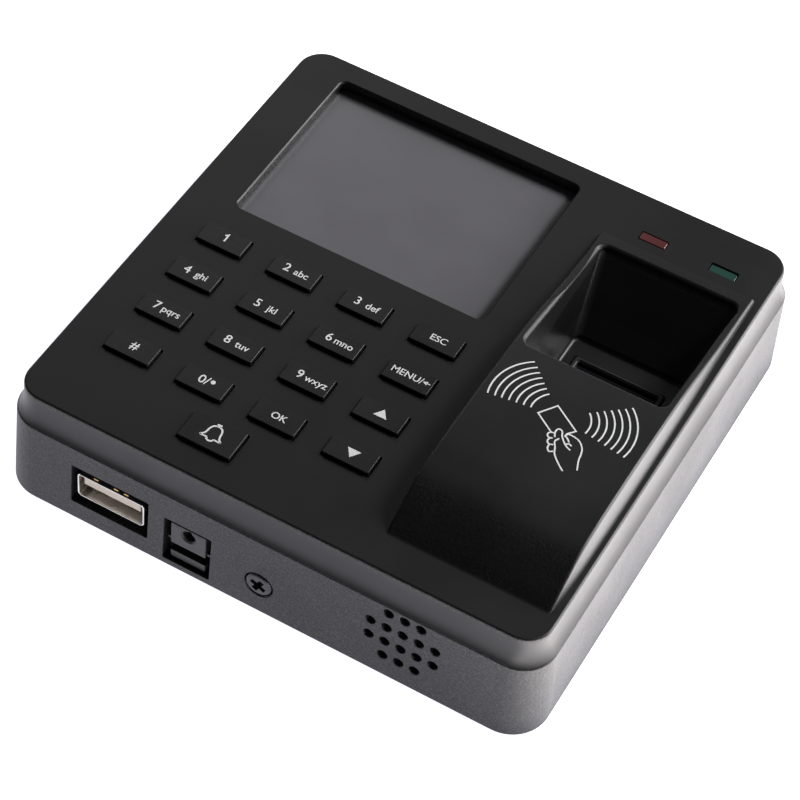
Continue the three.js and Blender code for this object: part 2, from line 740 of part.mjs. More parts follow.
function rearCover() {
  const sheet = insetBlock(LINING_INSET, COVER_BOTTOM, COVER_TOP);
  const counterbores = COVER_SCREWS.flatMap(([x, y]) => [
    bar(x, y, 1.9 + GAP, 0, COVER_BOTTOM + 1.1),
    bar(x, y, 0.85 + GAP, 0, COVER_TOP + 1, 12),
  ]);
  const pockets = BOARD_SCREWS.map(([x, y]) => bar(x, y, 1.9 + GAP, COVER_TOP - 1.2, COVER_TOP + 1));
  const tabRoom = box(-PLATE_TAB_WIDTH / 2 - 0.4, PLATE_TAB_WIDTH / 2 + 0.4, FRONT, FRONT + LINING_INSET + 1.6, 0, 9);
  const hookRooms = [-1, 1].map((side) =>
    centredBox(side * PLATE_HOOK_X, BACK - 5, PLATE_HOOK_WIDTH + 0.8, 2 * (PLATE_HOOK_BACK + 1.5 - 5), 0, 9),
  );
  return cut(sheet, socketRoom(0, 9), tabRoom, ...hookRooms, ...counterbores, ...pockets);
}

function wallPlate() {
  const sheet = insetBlock(LINING_INSET, 0, PLATE_THICKNESS);
  const tabY = FRONT + LINING_INSET;
  const halfTab = PLATE_TAB_WIDTH / 2;
  const tab = box(-halfTab, halfTab, tabY, tabY + PLATE_THICKNESS, 0, PLATE_TAB_HEIGHT);
  const hooks = [-1, 1].flatMap((side) => {
    const x = side * PLATE_HOOK_X;
    const y = BACK - PLATE_HOOK_BACK;
    const lip = COVER_TOP + 0.4;
    return [
      centredBox(x, y, PLATE_HOOK_WIDTH, PLATE_THICKNESS, 0, lip + PLATE_THICKNESS),
      centredBox(x, y - PLATE_HOOK_REACH / 2, PLATE_HOOK_WIDTH, PLATE_HOOK_REACH + PLATE_THICKNESS, lip, lip + PLATE_THICKNESS),
    ];
  });
  const wallHoles = [-1, 1].flatMap((x) => [-1, 1].map((y) => bar(x * 30, y * 30, 2.2, -1, PLATE_THICKNESS + 1)));
  const cableHole = bar(0, 0, 4.8, -1, PLATE_THICKNESS + 1);
  const screwHole = barAlongY(0, LOCK_SCREW_HEIGHT, 1.2 + GAP, FRONT, tabY + PLATE_THICKNESS + 1);
  return cut(join(sheet, tab, ...hooks), cableHole, screwHole, ...wallHoles);
}

// Cross-headed screw with its head down and its shank up, about the underside of its head
function screw(headRadius, headHeight, shankRadius, shankLength) {
  const depth = headHeight * 0.6;
  const arm = headRadius * 0.6;
  return cut(
    join(bar(0, 0, headRadius, -headHeight, 0), bar(0, 0, shankRadius, -headHeight / 2, shankLength, 12)),
    centredBox(0, 0, 2 * arm, 0.7, -headHeight - 1, -headHeight + depth),
    centredBox(0, 0, 0.7, 2 * arm, -headHeight - 1, -headHeight + depth),
  );
}

function material(colour, roughness, metalness = 0) {
  return new THREE.MeshStandardMaterial({ color: colour, roughness, metalness });
}

const blackPlastic = material(0x232224, 0.6);
const glassGrey = material(0x646268, 0.15);
const darkGlass = material(0x101216, 0.08);
const boardGreen = material(0x1f5a38, 0.5);
const steel = material(0xb8bbc0, 0.3, 1);
const darkSteel = material(0x3a3a3d, 0.4, 1);
const chipBlack = material(0x161616, 0.45);
const silicone = material(0x8d8f92, 0.7);
const amberFilm = material(0xb9742a, 0.4);
const copper = material(0xb87345, 0.35, 1);
const socketGrey = material(0x5a595d, 0.55);
const whitePlastic = material(0xe9e3d8, 0.5);
const redLens = material(0x7a1f28, 0.25);
const greenLens = material(0x1f6a50, 0.25);
const clearGlass = material(0xcfe0e2, 0.05);

const terminal = new THREE.Group();
terminal.name = 'fingerprint_terminal';

function add(parent, name, solid, look, x = 0, y = 0, z = 0) {
  const mesh = new THREE.Mesh(geometryOf(solid), look);
  mesh.name = name;
  mesh.position.set(x, y, z);
  parent.add(mesh);
  return mesh;
}

function addCase() {
  add(terminal, 'front_housing', frontHousing(), blackPlastic);
  add(terminal, 'rear_cover', rearCover(), blackPlastic);
  add(terminal, 'wall_plate', wallPlate(), steel);
  COVER_SCREWS.forEach(([x, y], i) => {
    add(terminal, `cover_screw_${i + 1}`, screw(1.9, 0.7, 0.85, 7), steel, x, y, COVER_BOTTOM + 0.8);
  });
  const lock = add(terminal, 'lock_screw', screw(2.4, 1.4, 1.2, 5.5), darkSteel, 0, FRONT + 1.5, LOCK_SCREW_HEIGHT);
  lock.rotation.set(-Math.PI / 2, 0, 0);
}

function addKeypad() {
  const keypad = new THREE.Group();
  keypad.position.z = FACE_HEIGHT;
  terminal.add(keypad);
  keySpots().forEach((spot) => {
    add(keypad, spot.name, keycap(spot.width, spot.length), blackPlastic, spot.x, spot.y);
  });
  add(terminal, 'keypad_mat', keypadMat(), silicone);
  add(terminal, 'keypad_board', keypadSheet(0, KEYPAD_BOARD_BOTTOM, KEYPAD_BOARD_TOP), boardGreen);
  const foldY = FRONT + KEY_TOP_ROW - 1.5 * KEY_PITCH_Y;
  const upper = KEYPAD_BOARD_BOTTOM - GAP - 0.35;
  add(terminal, 'keypad_ribbon', ribbon(LEFT + 24, 12, foldY + 8, foldY, foldY - 7, upper), amberFilm);
}

function addDisplay() {
  const window = centredBox(
    SCREEN_X,
    SCREEN_Y,
    SCREEN_WIDTH + 2 * WINDOW_LAP,
    SCREEN_LENGTH + 2 * WINDOW_LAP,
    WINDOW_BOTTOM,
    WINDOW_TOP,
  );
  add(terminal, 'display_window', window, glassGrey);
  add(terminal, 'display_panel', displayPanel(), chipBlack);
  add(terminal, 'display_tray', displayTray(), steel);
  const foldY = SCREEN_Y - SCREEN_LENGTH / 2 + 2;
  const upper = TRAY_BOTTOM - GAP - 0.35;
  add(terminal, 'display_ribbon', ribbon(SCREEN_X, DISPLAY_RIBBON_WIDTH, foldY + 9, foldY, foldY - 6, upper), amberFilm);
}

function addLamps() {
  add(terminal, 'lamp_board', lampBoard(), boardGreen);
  lampSpots().forEach(({ colour, x }) => {
    const lens = colour === 'red' ? redLens : greenLens;
    add(terminal, `lamp_window_${colour}`, lampWindow(), lens, x, LAMP_Y);
    add(terminal, `lamp_${colour}`, lamp(0), whitePlastic, x);
  });
}

function addSensor() {
  add(terminal, 'sensor_bezel', sensorBezel(), blackPlastic);
  add(terminal, 'finger_window', fingerWindow(), darkGlass);
  add(terminal, 'sensor_prism', sensorPrism(), clearGlass);
  add(terminal, 'sensor_camera', sensorCamera(), chipBlack);
  add(terminal, 'sensor_board', sensorBoard(), boardGreen);
}

function addCardReader() {
  add(terminal, 'reader_board', readerBoard(), boardGreen);
  add(terminal, 'reader_coil', readerCoil(), copper);
}

function addElectronics() {
  add(terminal, 'main_board', mainBoard(), boardGreen);
  BOARD_SCREWS.forEach(([x, y], i) => {
    add(terminal, `board_screw_${i + 1}`, screw(1.9, 0.8, 0.85, 5), steel, x, y, BOARD_BOTTOM - GAP);
  });
  const z = BOARD_TOP + GAP;
  add(terminal, 'processor', centredBox(0, 0, 13, 13, 0, 1.2), chipBlack, 4, FRONT + 30, z);
  add(terminal, 'memory_chip', centredBox(0, 0, 9, 7, 0, 1), chipBlack, 4, FRONT + 44, z);
  const batteryX = SCREEN_X - DISPLAY_RIBBON_WIDTH / 2 - BATTERY_RADIUS - 2;
  add(terminal, 'clock_battery', bar(0, 0, BATTERY_RADIUS, 0, 3), steel, batteryX, FRONT + 62, z);
  add(terminal, 'usb_shell', usbShell(), steel);
  add(terminal, 'usb_tongue', usbTongue(), whitePlastic);
  add(terminal, 'power_socket', powerSocket(), socketGrey);
  const speakerY = INNER_FRONT + GAP;
  const speaker = barAlongY(0, 0, SPEAKER_RADIUS, 0, SPEAKER_DEPTH, 20);
  add(terminal, 'speaker', speaker, chipBlack, SPEAKER_X, speakerY, SPEAKER_HEIGHT);
}

addCase();
addKeypad();
addDisplay();
addLamps();
addSensor();
addCardReader();
addElectronics();

export default terminal;
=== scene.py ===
import math

import bmesh
import bpy
from mathutils import Matrix, Vector


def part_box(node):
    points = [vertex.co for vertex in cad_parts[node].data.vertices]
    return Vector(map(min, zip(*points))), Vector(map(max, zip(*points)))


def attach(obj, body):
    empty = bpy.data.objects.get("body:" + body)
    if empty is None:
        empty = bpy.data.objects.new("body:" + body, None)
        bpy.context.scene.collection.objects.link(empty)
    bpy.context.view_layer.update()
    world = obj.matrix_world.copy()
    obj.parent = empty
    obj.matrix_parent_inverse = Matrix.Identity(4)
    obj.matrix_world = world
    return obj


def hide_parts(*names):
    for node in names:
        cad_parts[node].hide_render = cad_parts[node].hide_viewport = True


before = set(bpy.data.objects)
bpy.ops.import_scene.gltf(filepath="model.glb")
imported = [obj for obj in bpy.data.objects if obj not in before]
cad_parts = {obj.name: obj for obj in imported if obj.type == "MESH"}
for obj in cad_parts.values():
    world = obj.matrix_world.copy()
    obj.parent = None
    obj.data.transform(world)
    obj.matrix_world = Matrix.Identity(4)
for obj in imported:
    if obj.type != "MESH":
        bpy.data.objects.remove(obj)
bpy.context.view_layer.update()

# Shapes are made in millimetres and put into the frame's metres at the end.
MM = 0.001


def node_box(name):
    """The CAD node's lowest and highest corner in millimetres."""
    low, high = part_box(name)
    return [v / MM for v in low], [v / MM for v in high]


def node_centre(name):
    low, high = node_box(name)
    return [(a + b) / 2 for a, b in zip(low, high)]


# --- measures, in millimetres

(BX0, BY0, _), (BX1, BY1, _) = node_box("front_housing")
BODY_RADIUS = 7.0
# heights of the face, of the crease in the wall and of the top of the cove over it
FACE = 24.0
SHOULDER = 17.6
COVE_END = 23.0
# how far the wall leans in up to the crease, and how far in the face starts
WALL_LEAN = 0.8
FACE_INSET = 2.1
WEDGE_X0, WEDGE_X1 = 17.6, 47.2
WEDGE_Y0, WEDGE_Y1 = BY0 + 8.5, BY1 - 15.5
# (y, z) of the wedge's top
WEDGE_SHAPE = [
    (-42.5, 23.9), (-41.9, 24.1), (-40.6, 24.95), (-37.3, 27.05), (-35.2, 28.2), (-33.4, 28.95),
    (-31.4, 29.45), (-29.2, 29.75), (-25.0, 30.1), (-18.0, 30.22), (-10.0, 30.12), (-2.0, 29.8), (6.4, 29.1),
    (12.6, 28.05), (18.8, 26.85), (24.0, 26.05), (30.0, 25.5), (33.7, 25.25), (35.5, 25.05),
]
WELL_X = (WEDGE_X0 + WEDGE_X1) / 2
WELL_HALF = 13.1
WELL_Y0, WELL_Y1 = 1.3, 32.3
WELL_FLOOR = 14.0
# the well's foot starts at y 0
WELL_FOOT_HALF, WELL_FOOT_Y1 = 11.0, 20.4
KEY_FLANGE = 0.8


# --- materials


def fill(node, **numbers):
    """Sets a node's input sockets: From_Min=0 sets the one called From Min."""
    for name, number in numbers.items():
        node.inputs[name.replace("_", " ")].default_value = number
    return node


class Shader:
    """A small helper that makes a node material around one Principled BSDF."""

    def __init__(self, name, colour, roughness, metallic=0.0, specular=0.5):
        self.material = bpy.data.materials.new(name)
        self.material.use_nodes = True
        self.tree = self.material.node_tree
        self.bsdf = self.tree.nodes["Principled BSDF"]
        fill(self.bsdf, Base_Color=(*colour, 1.0), Roughness=roughness, Metallic=metallic)
        fill(self.bsdf, Specular_IOR_Level=specular)
        self.last_bump = None

    def node(self, kind, **numbers):
        return fill(self.tree.nodes.new(kind), **numbers)

    def link(self, a, b):
        self.tree.links.new(a, b)

    def place(self):
        return self.node("ShaderNodeTexCoord").outputs["Object"]

    def axis(self, index):
        node = self.node("ShaderNodeSeparateXYZ")
        self.link(self.place(), node.inputs[0])
        return node.outputs[index]

    def noise(self, scale, detail=2.0, rough=0.5, vector=None):
        node = self.node("ShaderNodeTexNoise", Scale=scale, Detail=detail, Roughness=rough)
        self.link(vector or self.place(), node.inputs["Vector"])
        return node.outputs["Fac"]

    def cells(self, scale):
        node = self.node("ShaderNodeTexVoronoi", Scale=scale)
        self.link(self.place(), node.inputs["Vector"])
        return node.outputs["Distance"]

    def remap(self, value, a, b, c, d, smooth=True):
        """Takes value from the range a to b into the range c to d."""
        node = self.node("ShaderNodeMapRange", From_Min=a, From_Max=b, To_Min=c, To_Max=d)
        node.interpolation_type = "SMOOTHSTEP" if smooth else "LINEAR"
        self.link(value, node.inputs["Value"])
        return node.outputs["Result"]

    def above(self, value, start, end):
        """0 below start and 1 above end, both in millimetres."""
        return self.remap(value, start * MM, end * MM, 0.0, 1.0)

    def below(self, value, start, end):
        """1 below start and 0 above end, both in millimetres."""
        return self.remap(value, start * MM, end * MM, 1.0, 0.0)

    def product(self, first, *more):
        for value in more:
            first = self.math("MULTIPLY", first, value)
        return first

    def math(self, kind, a, b=None):
        node = self.node("ShaderNodeMath")
        node.operation = kind
        for slot, value in zip(node.inputs, (a, b)):
            if value is None:
                continue
            if isinstance(value, (int, float)):
                slot.default_value = value
            else:
                self.link(value, slot)
        return node.outputs[0]

    def blend(self, factor, dark, light):
        """The dark colour where factor is 0 and the light one where it is 1."""
        node = self.node("ShaderNodeMix")
        node.data_type = "RGBA"
        factor_in, dark_in, light_in = node.inputs[0], node.inputs[6], node.inputs[7]
        self.link(factor, factor_in)
        dark_in.default_value = (*dark, 1.0)
        light_in.default_value = (*light, 1.0)
        return node.outputs[2]

    def bump(self, height, distance, strength=1.0):
        node = self.node("ShaderNodeBump", Distance=distance)
        if isinstance(strength, (int, float)):
            node.inputs["Strength"].default_value = strength
        else:
            self.link(strength, node.inputs["Strength"])
        self.link(height, node.inputs["Height"])
        if self.last_bump:
            self.link(self.last_bump, node.inputs["Normal"])
        self.last_bump = node.outputs["Normal"]
        self.link(self.last_bump, self.bsdf.inputs["Normal"])

    def vary_roughness(self, factor, low, high):
        self.link(self.remap(factor, 0.3, 0.7, low, high), self.bsdf.inputs["Roughness"])

    def vary_colour(self, factor, dark, light):
        self.link(self.blend(factor, dark, light), self.bsdf.inputs["Base Color"])

    def edge_highlights(self, radius=0.2, strength=0.5):
        """A painted highlight along edges: 0 on flats and up to strength along edges, found by rounding the
        normal over radius millimetres.
        """
        rounded = self.node("ShaderNodeBevel", Radius=radius * MM)
        rounded.samples = 4
        geometry = self.node("ShaderNodeNewGeometry")
        facing = self.node("ShaderNodeVectorMath")
        facing.operation = "DOT_PRODUCT"
        self.link(rounded.outputs["Normal"], facing.inputs[0])
        self.link(geometry.outputs["Normal"], facing.inputs[1])
        return self.remap(facing.outputs["Value"], 0.8, 0.98, strength, 0.0)


def moulded_plastic(name, dark, light, roughness, grain, depth, specular=0.5, highlight_amount=0.5):
    """Moulded plastic with a fine spark-eroded grain, cloudy gloss and a painted highlight that lightens its
    edges.
    """
    s = Shader(name, dark, roughness, specular=specular)
    fine = s.noise(grain, 3.0, 0.6)
    coarse = s.noise(grain * 0.35, 2.0, 0.5)
    cloud = s.noise(60.0, 3.0, 0.55)
    s.vary_roughness(cloud, roughness - 0.05, roughness + 0.06)
    tint = s.remap(fine, 0.35, 0.7, 0.0, 0.7)
    # the grain's tone and a painted highlight along the edges lighten the colour
    s.vary_colour(s.math("MAXIMUM", tint, s.edge_highlights(0.2, highlight_amount)), dark, light)
    s.bump(fine, depth * MM)
    s.bump(coarse, depth * 1.2 * MM)
    return s


def case_material():
    """The housing: grain with painted glints for its sparkle on the walls, fine on the face, a leather ramp
    and a smooth well.
    """
    s = Shader("case_plastic", (0.009, 0.009, 0.0095), 0.42)
    across, along, height = s.axis(0), s.axis(1), s.axis(2)
    wall = s.below(height, SHOULDER - 0.1, SHOULDER + 0.2)
    cove = s.product(
        s.above(height, SHOULDER, SHOULDER + 0.3),
        s.below(height, COVE_END - 0.2, COVE_END + 0.3),
    )
    lip = s.product(s.above(height, COVE_END - 0.4, COVE_END + 0.2), s.below(height, FACE - 0.2, FACE - 0.05))
    ramp = s.product(
        s.below(along, -34.5, -31.0),
        s.above(height, FACE + 0.05, FACE + 0.4),
        s.below(across, WEDGE_X1 - 0.2, WEDGE_X1 - 0.1),
    )
    well = s.product(
        s.above(across, WEDGE_X0 - 1.6, WEDGE_X0 - 1.5),
        s.below(across, WEDGE_X1 + 0.7, WEDGE_X1 + 0.8),
        s.above(along, WELL_Y0 - 3.3, WELL_Y0 - 3.2),
        s.below(along, WELL_Y1 + 2.7, WELL_Y1 + 2.9),
        s.below(height, FACE - 0.6, FACE + 0.2),
    )
    grained = s.math("MULTIPLY", s.math("MAXIMUM", wall, lip), s.math("SUBTRACT", 1.0, well))
    s.bump(s.noise(4600.0, 3.0, 0.6), 0.05 * MM, s.math("MULTIPLY", grained, 0.75))
    s.bump(s.noise(1700.0, 2.0, 0.6), 0.13 * MM, s.math("MULTIPLY", grained, 0.7))
    s.bump(s.noise(5200.0, 2.0, 0.5), 0.012 * MM, 0.55)
    s.bump(s.cells(2600.0), 0.07 * MM, s.math("MULTIPLY", ramp, 0.85))
    s.bump(s.noise(2000.0, 3.0, 0.6), 0.06 * MM, s.math("MULTIPLY", ramp, 0.6))
    # the mould's parting lines near the front corners
    witness = s.product(s.above(s.math("ABSOLUTE", across), 44.78, 44.9), wall, s.below(along, -44.0, -43.0))
    s.bump(witness, 0.03 * MM)
    cloud = s.noise(45.0, 3.0, 0.55)
    rough = s.remap(cloud, 0.3, 0.7, 0.40, 0.48)
    for mask, change in ((wall, 0.06), (cove, -0.02), (ramp, -0.06), (well, -0.08)):
        rough = s.math("ADD", rough, s.math("MULTIPLY", mask, change))
    s.link(rough, s.bsdf.inputs["Roughness"])
    # painted glints: light specks in the base colour on the grained walls and lip and, weaker, on the ramp,
    # together with a painted highlight along the edges
    glint = s.remap(s.noise(2900.0, 2.0, 0.6), 0.42, 0.72, 0.0, 0.65)
    covered = s.math("MAXIMUM", grained, s.math("MULTIPLY", ramp, 0.25))
    tint = s.math("MAXIMUM", s.math("MULTIPLY", glint, covered), s.edge_highlights(0.2, 0.12))
    s.vary_colour(tint, (0.005, 0.005, 0.0053), (0.062, 0.061, 0.062))
    return s


def metal(name, colour, roughness, scratch=900.0, depth=0.004):
    """Plated metal with a drawn grain and dull patches."""
    s = Shader(name, colour, roughness, metallic=1.0)
    stretch = s.node("ShaderNodeMapping", Scale=(1.0, 9.0, 9.0))
    s.link(s.place(), stretch.inputs["Vector"])
    grain = s.noise(scratch, 3.0, 0.6, stretch.outputs["Vector"])
    patch = s.noise(220.0, 3.0, 0.6)
    s.vary_roughness(patch, max(0.05, roughness - 0.08), roughness + 0.1)
    darker = tuple(v * 0.72 for v in colour)
    s.vary_colour(s.remap(patch, 0.25, 0.75, 0.0, 1.0), darker, colour)
    s.bump(grain, depth * MM)
    return s


def clear_coat(name, colour, roughness, coat=0.6):
    """Glossy plastic or film under a thin coat, with faint haze."""
    s = Shader(name, colour, roughness)
    fill(s.bsdf, Coat_Weight=coat, Coat_Roughness=0.06)
    haze = s.noise(80.0, 3.0, 0.55)
    s.vary_roughness(haze, roughness, roughness + 0.06)
    s.vary_colour(haze, tuple(v * 0.94 for v in colour), tuple(min(1.0, v * 1.06) for v in colour))
    s.bump(s.noise(900.0, 1.0, 0.5), 0.0006 * MM)
    return s


def circuit_board(name):
    """Green solder mask over copper tracks, with a rough glass weave under it."""
    s = Shader(name, (0.012, 0.11, 0.045), 0.35)
    brick = s.node("ShaderNodeTexBrick", Scale=220.0, Mortar_Size=0.06)
    s.link(s.place(), brick.inputs["Vector"])
    tracks = s.remap(brick.outputs["Fac"], 0.2, 0.8, 0.0, 1.0)
    weave = s.noise(1400.0, 2.0, 0.5)
    s.vary_colour(tracks, (0.01, 0.09, 0.036), (0.02, 0.17, 0.07))
    s.vary_roughness(weave, 0.3, 0.42)
    s.bump(tracks, 0.02 * MM)
    s.bump(weave, 0.006 * MM)
    return s


def glass(name, colour, roughness=0.04):
    s = Shader(name, colour, roughness)
    fill(s.bsdf, Transmission_Weight=0.7, IOR=1.5)
    s.vary_roughness(s.noise(150.0, 3.0, 0.6), roughness, roughness + 0.05)
    s.bump(s.noise(700.0, 1.0, 0.5), 0.0005 * MM)
    return s


def grey(value, blue=0.0):
    return (value, value, value + blue)


LOOKS = {
    "case": case_material(),
    # the keycaps get only a faint painted highlight along their edges
    "keycap": moulded_plastic(
        "keycap_plastic", grey(0.007, 0.0003), grey(0.011, 0.0003), 0.37, 5200.0, 0.01, highlight_amount=0.05
    ),
    "legend": moulded_plastic("legend_ink", grey(0.93, 0.01), grey(0.97, 0.01), 0.5, 6000.0, 0.004),
    "inner": moulded_plastic("inner_plastic", grey(0.008), grey(0.02), 0.6, 3000.0, 0.02),
    "screen": clear_coat("screen_window", (0.15, 0.145, 0.158), 0.2, 0.2),
    "panel": clear_coat("panel_glass", grey(0.03, 0.004), 0.12),
    "sensor_glass": clear_coat("sensor_glass", grey(0.006, 0.002), 0.08, 0.8),
    "prism": glass("prism_glass", (0.8, 0.88, 0.9)),
    "board": circuit_board("board_green"),
    "chip": moulded_plastic("chip_package", grey(0.012), grey(0.03), 0.5, 2600.0, 0.01),
    "silicone": moulded_plastic(
        "keypad_silicone", grey(0.2, 0.005), grey(0.26, 0.005), 0.7, 1500.0, 0.012, specular=0.35
    ),
    "film": clear_coat("flat_cable_film", (0.42, 0.16, 0.02), 0.3, 0.3),
    "shell_steel": metal("plated_shell", (0.83, 0.82, 0.79), 0.2),
    "spring": metal("spring_bronze", (0.8, 0.66, 0.42), 0.25),
    "plate_steel": metal("zinc_plate", (0.52, 0.53, 0.54), 0.38, 600.0, 0.008),
    "screw_steel": metal("screw_plating", grey(0.2), 0.36),
    "lock_steel": metal("lock_plating", grey(0.09, 0.002), 0.42),
    "contact": metal("gold_contact", (0.85, 0.62, 0.25), 0.2),
    "coil": metal("coil_copper", (0.6, 0.28, 0.12), 0.35),
    "socket": moulded_plastic("socket_plastic", grey(0.028, 0.002), grey(0.045, 0.003), 0.45, 3800.0, 0.012),
    "tongue": moulded_plastic("tongue_plastic", (0.66, 0.58, 0.47), (0.74, 0.67, 0.56), 0.45, 3000.0, 0.006),
    "red_lens": clear_coat("red_lens", (0.105, 0.02, 0.021), 0.3, 0.25),
    "green_lens": clear_coat("green_lens", (0.012, 0.062, 0.045), 0.3, 0.25),
    "lamp_body": clear_coat("lamp_package", (0.75, 0.75, 0.7), 0.3, 0.3),
}


# --- mesh tools


def put(name, data):
    """A new object in the scene that holds data."""
    obj = bpy.data.objects.new(name, data)
    bpy.context.scene.collection.objects.link(obj)
    return obj


def new_object(name, verts, faces):
    mesh = bpy.data.meshes.new(name)
    mesh.from_pydata([tuple(v) for v in verts], [], faces)
    mesh.validate()
    mesh.update()
    work = bmesh.new()
    work.from_mesh(mesh)
    bmesh.ops.recalc_face_normals(work, faces=work.faces)
    work.to_mesh(mesh)
    work.free()
    return put(name, mesh)


def rounded_ring(x0, x1, y0, y1, radius, corner_steps=8):
    """Points round a rounded rectangle, always the same number for the same corner_steps."""
    points = []
    for cx, cy, start in (
        (x1 - radius, y0 + radius, -90),
        (x1 - radius, y1 - radius, 0),
        (x0 + radius, y1 - radius, 90),
        (x0 + radius, y0 + radius, 180),
    ):
        for i in range(corner_steps + 1):
            angle = math.radians(start + 90 * i / corner_steps)
            points.append((cx + radius * math.cos(angle), cy + radius * math.sin(angle)))
    return points


def loft(name, rings):
    """A closed solid through rings of 3-D points with equal counts."""
    count = len(rings[0])
    verts = [point for ring in rings for point in ring]
    faces = [tuple(reversed(range(count)))]
    for level in range(len(rings) - 1):
        base = level * count
        for i in range(count):
            j = (i + 1) % count
            faces.append((base + i, base + j, base + count + j, base + count + i))
    top = (len(rings) - 1) * count
    faces.append(tuple(range(top, top + count)))
    return new_object(name, verts, faces)


def block(name, x0, x1, y0, y1, levels, radius, corner_steps=6):
    """A rounded rectangle lofted up Z. levels are (z, inset) pairs."""
    rings = []
    for z, inset in levels:
        r = max(radius - inset, 0.02)
        ring = rounded_ring(x0 + inset, x1 - inset, y0 + inset, y1 - inset, r, corner_steps)
        rings.append([(x, y, z) for x, y in ring])
    return loft(name, rings)


def soft_box(name, x0, x1, y0, y1, z0, z1, edge, radius=None):
    """A box with rounded vertical corners and rounded top and bottom edges."""
    corner = max(radius or edge, edge + 0.02)
    return block(name, x0, x1, y0, y1, soft_levels(z0, z1, edge), corner)


def quarter(steps):
    """Angles from 0 to 90 degrees."""
    return [math.pi / 2 * i / steps for i in range(steps + 1)]


def rising_rim(top, edge, steps=3):
    """(z, inset) levels of a rounded edge that ends level at top."""
    return [(top - edge * (1 - math.sin(a)), edge * (1 - math.cos(a))) for a in quarter(steps)]


def soft_levels(z0, z1, edge, steps=3):
    levels = [(z0 + edge * (1 - math.cos(a)), edge * (1 - math.sin(a))) for a in quarter(steps)]
    levels += [(z1 - edge * (1 - math.cos(a)), edge * (1 - math.sin(a))) for a in reversed(quarter(steps))]
    return levels


def turned(name, centre, axis, profile, sides=32):
    """A turned solid: profile is (distance along the axis, radius) pairs."""
    turn = Vector((0, 0, 1)).rotation_difference(Vector(axis)).to_matrix()
    rings = []
    for along, radius in profile:
        ring = []
        for i in range(sides):
            angle = 2 * math.pi * i / sides
            point = turn @ Vector((radius * math.cos(angle), radius * math.sin(angle), along))
            ring.append(tuple(point + Vector(centre)))
        rings.append(ring)
    return loft(name, rings)


def combine(base, tool, operation):
    """Joins tool to base or cuts it away, and drops the tool."""
    modifier = base.modifiers.new("combine", "BOOLEAN")
    modifier.solver = "EXACT"
    modifier.operation = operation
    modifier.object = tool
    bpy.context.view_layer.update()
    graph = bpy.context.evaluated_depsgraph_get()
    mesh = bpy.data.meshes.new_from_object(base.evaluated_get(graph))
    base.modifiers.clear()
    old = base.data
    base.data = mesh
    bpy.data.meshes.remove(old)
    bpy.data.objects.remove(tool)
    return base


def cut(base, *tools):
    for tool in tools:
        combine(base, tool, "DIFFERENCE")
    return base


def join(base, *tools):
    for tool in tools:
        combine(base, tool, "UNION")
    return base


def turn_about(obj, matrix):
    obj.data.transform(matrix)
    return obj


def finish_piece(obj, look, replaces=None, body="terminal", angle=32, weighted=True):
    """Puts a millimetre piece into the frame, gives it its look and its body, and hides the node it replaces.
    """
    obj.data.transform(Matrix.Diagonal((MM, MM, MM, 1.0)))
    mesh = obj.data
    mesh.materials.clear()
    mesh.materials.append(LOOKS[look].material)
    mesh.polygons.foreach_set("use_smooth", [True] * len(mesh.polygons))
    mesh.set_sharp_from_angle(angle=math.radians(angle))
    if weighted:
        modifier = obj.modifiers.new("flat_faces", "WEIGHTED_NORMAL")
        modifier.keep_sharp = True
        modifier.weight = 60
    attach(obj, body)
    if replaces:
        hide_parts(replaces)
    return obj


# --- housing

def wedge_height(y):
    """Height of the wedge's top at y, on a smooth curve through WEDGE_SHAPE."""
    points = WEDGE_SHAPE
    if y <= points[0][0]:
        return points[0][1]
    if y >= points[-1][0]:
        return points[-1][1]
    index = next(i for i in range(len(points) - 1) if points[i + 1][0] >= y)
    (y0, z0), (y1, z1) = points[index], points[index + 1]

    def slope(i):
        a, b = points[max(i - 1, 0)], points[min(i + 1, len(points) - 1)]
        return (b[1] - a[1]) / (b[0] - a[0])

    t = (y - y0) / (y1 - y0)
    span = y1 - y0
    return (
        (2 * t**3 - 3 * t**2 + 1) * z0
        + (t**3 - 2 * t**2 + t) * slope(index) * span
        + (3 * t**2 - 2 * t**3) * z1
        + (t**3 - t**2) * slope(index + 1) * span
    )


def wall_y(z):
    """Y of the front wall, which leans in as it rises."""
    return BY0 + WALL_LEAN * z / SHOULDER


def body_block():
    """The housing's outside: leaning walls, a crease, a cove and a rounded lip round the face."""
    foot, crease, lip = 0.4, 0.12, 0.45
    levels = [(0.0, 0.45), (0.12, 0.2), (foot, 0.04)]
    for i in range(1, 5):
        z = foot + (SHOULDER - 0.55) * i / 4
        levels.append((z, WALL_LEAN * z / SHOULDER))
    levels.append((SHOULDER, WALL_LEAN + crease))
    steps = 14
    for i in range(1, steps + 1):
        t = i / steps
        z = SHOULDER + (COVE_END - SHOULDER) * t
        levels.append((z, WALL_LEAN + crease + (FACE_INSET - WALL_LEAN - crease) * (1 - (1 - t) ** 3.5)))
    levels.append((FACE - lip, FACE_INSET + 0.02))
    for a in reversed(quarter(4)[:-1]):
        levels.append((FACE - lip * (1 - math.cos(a)), FACE_INSET + 0.02 + lip * (1 - math.sin(a))))
    return block("case_body", BX0, BX1, BY0, BY1, levels, BODY_RADIUS, 14)


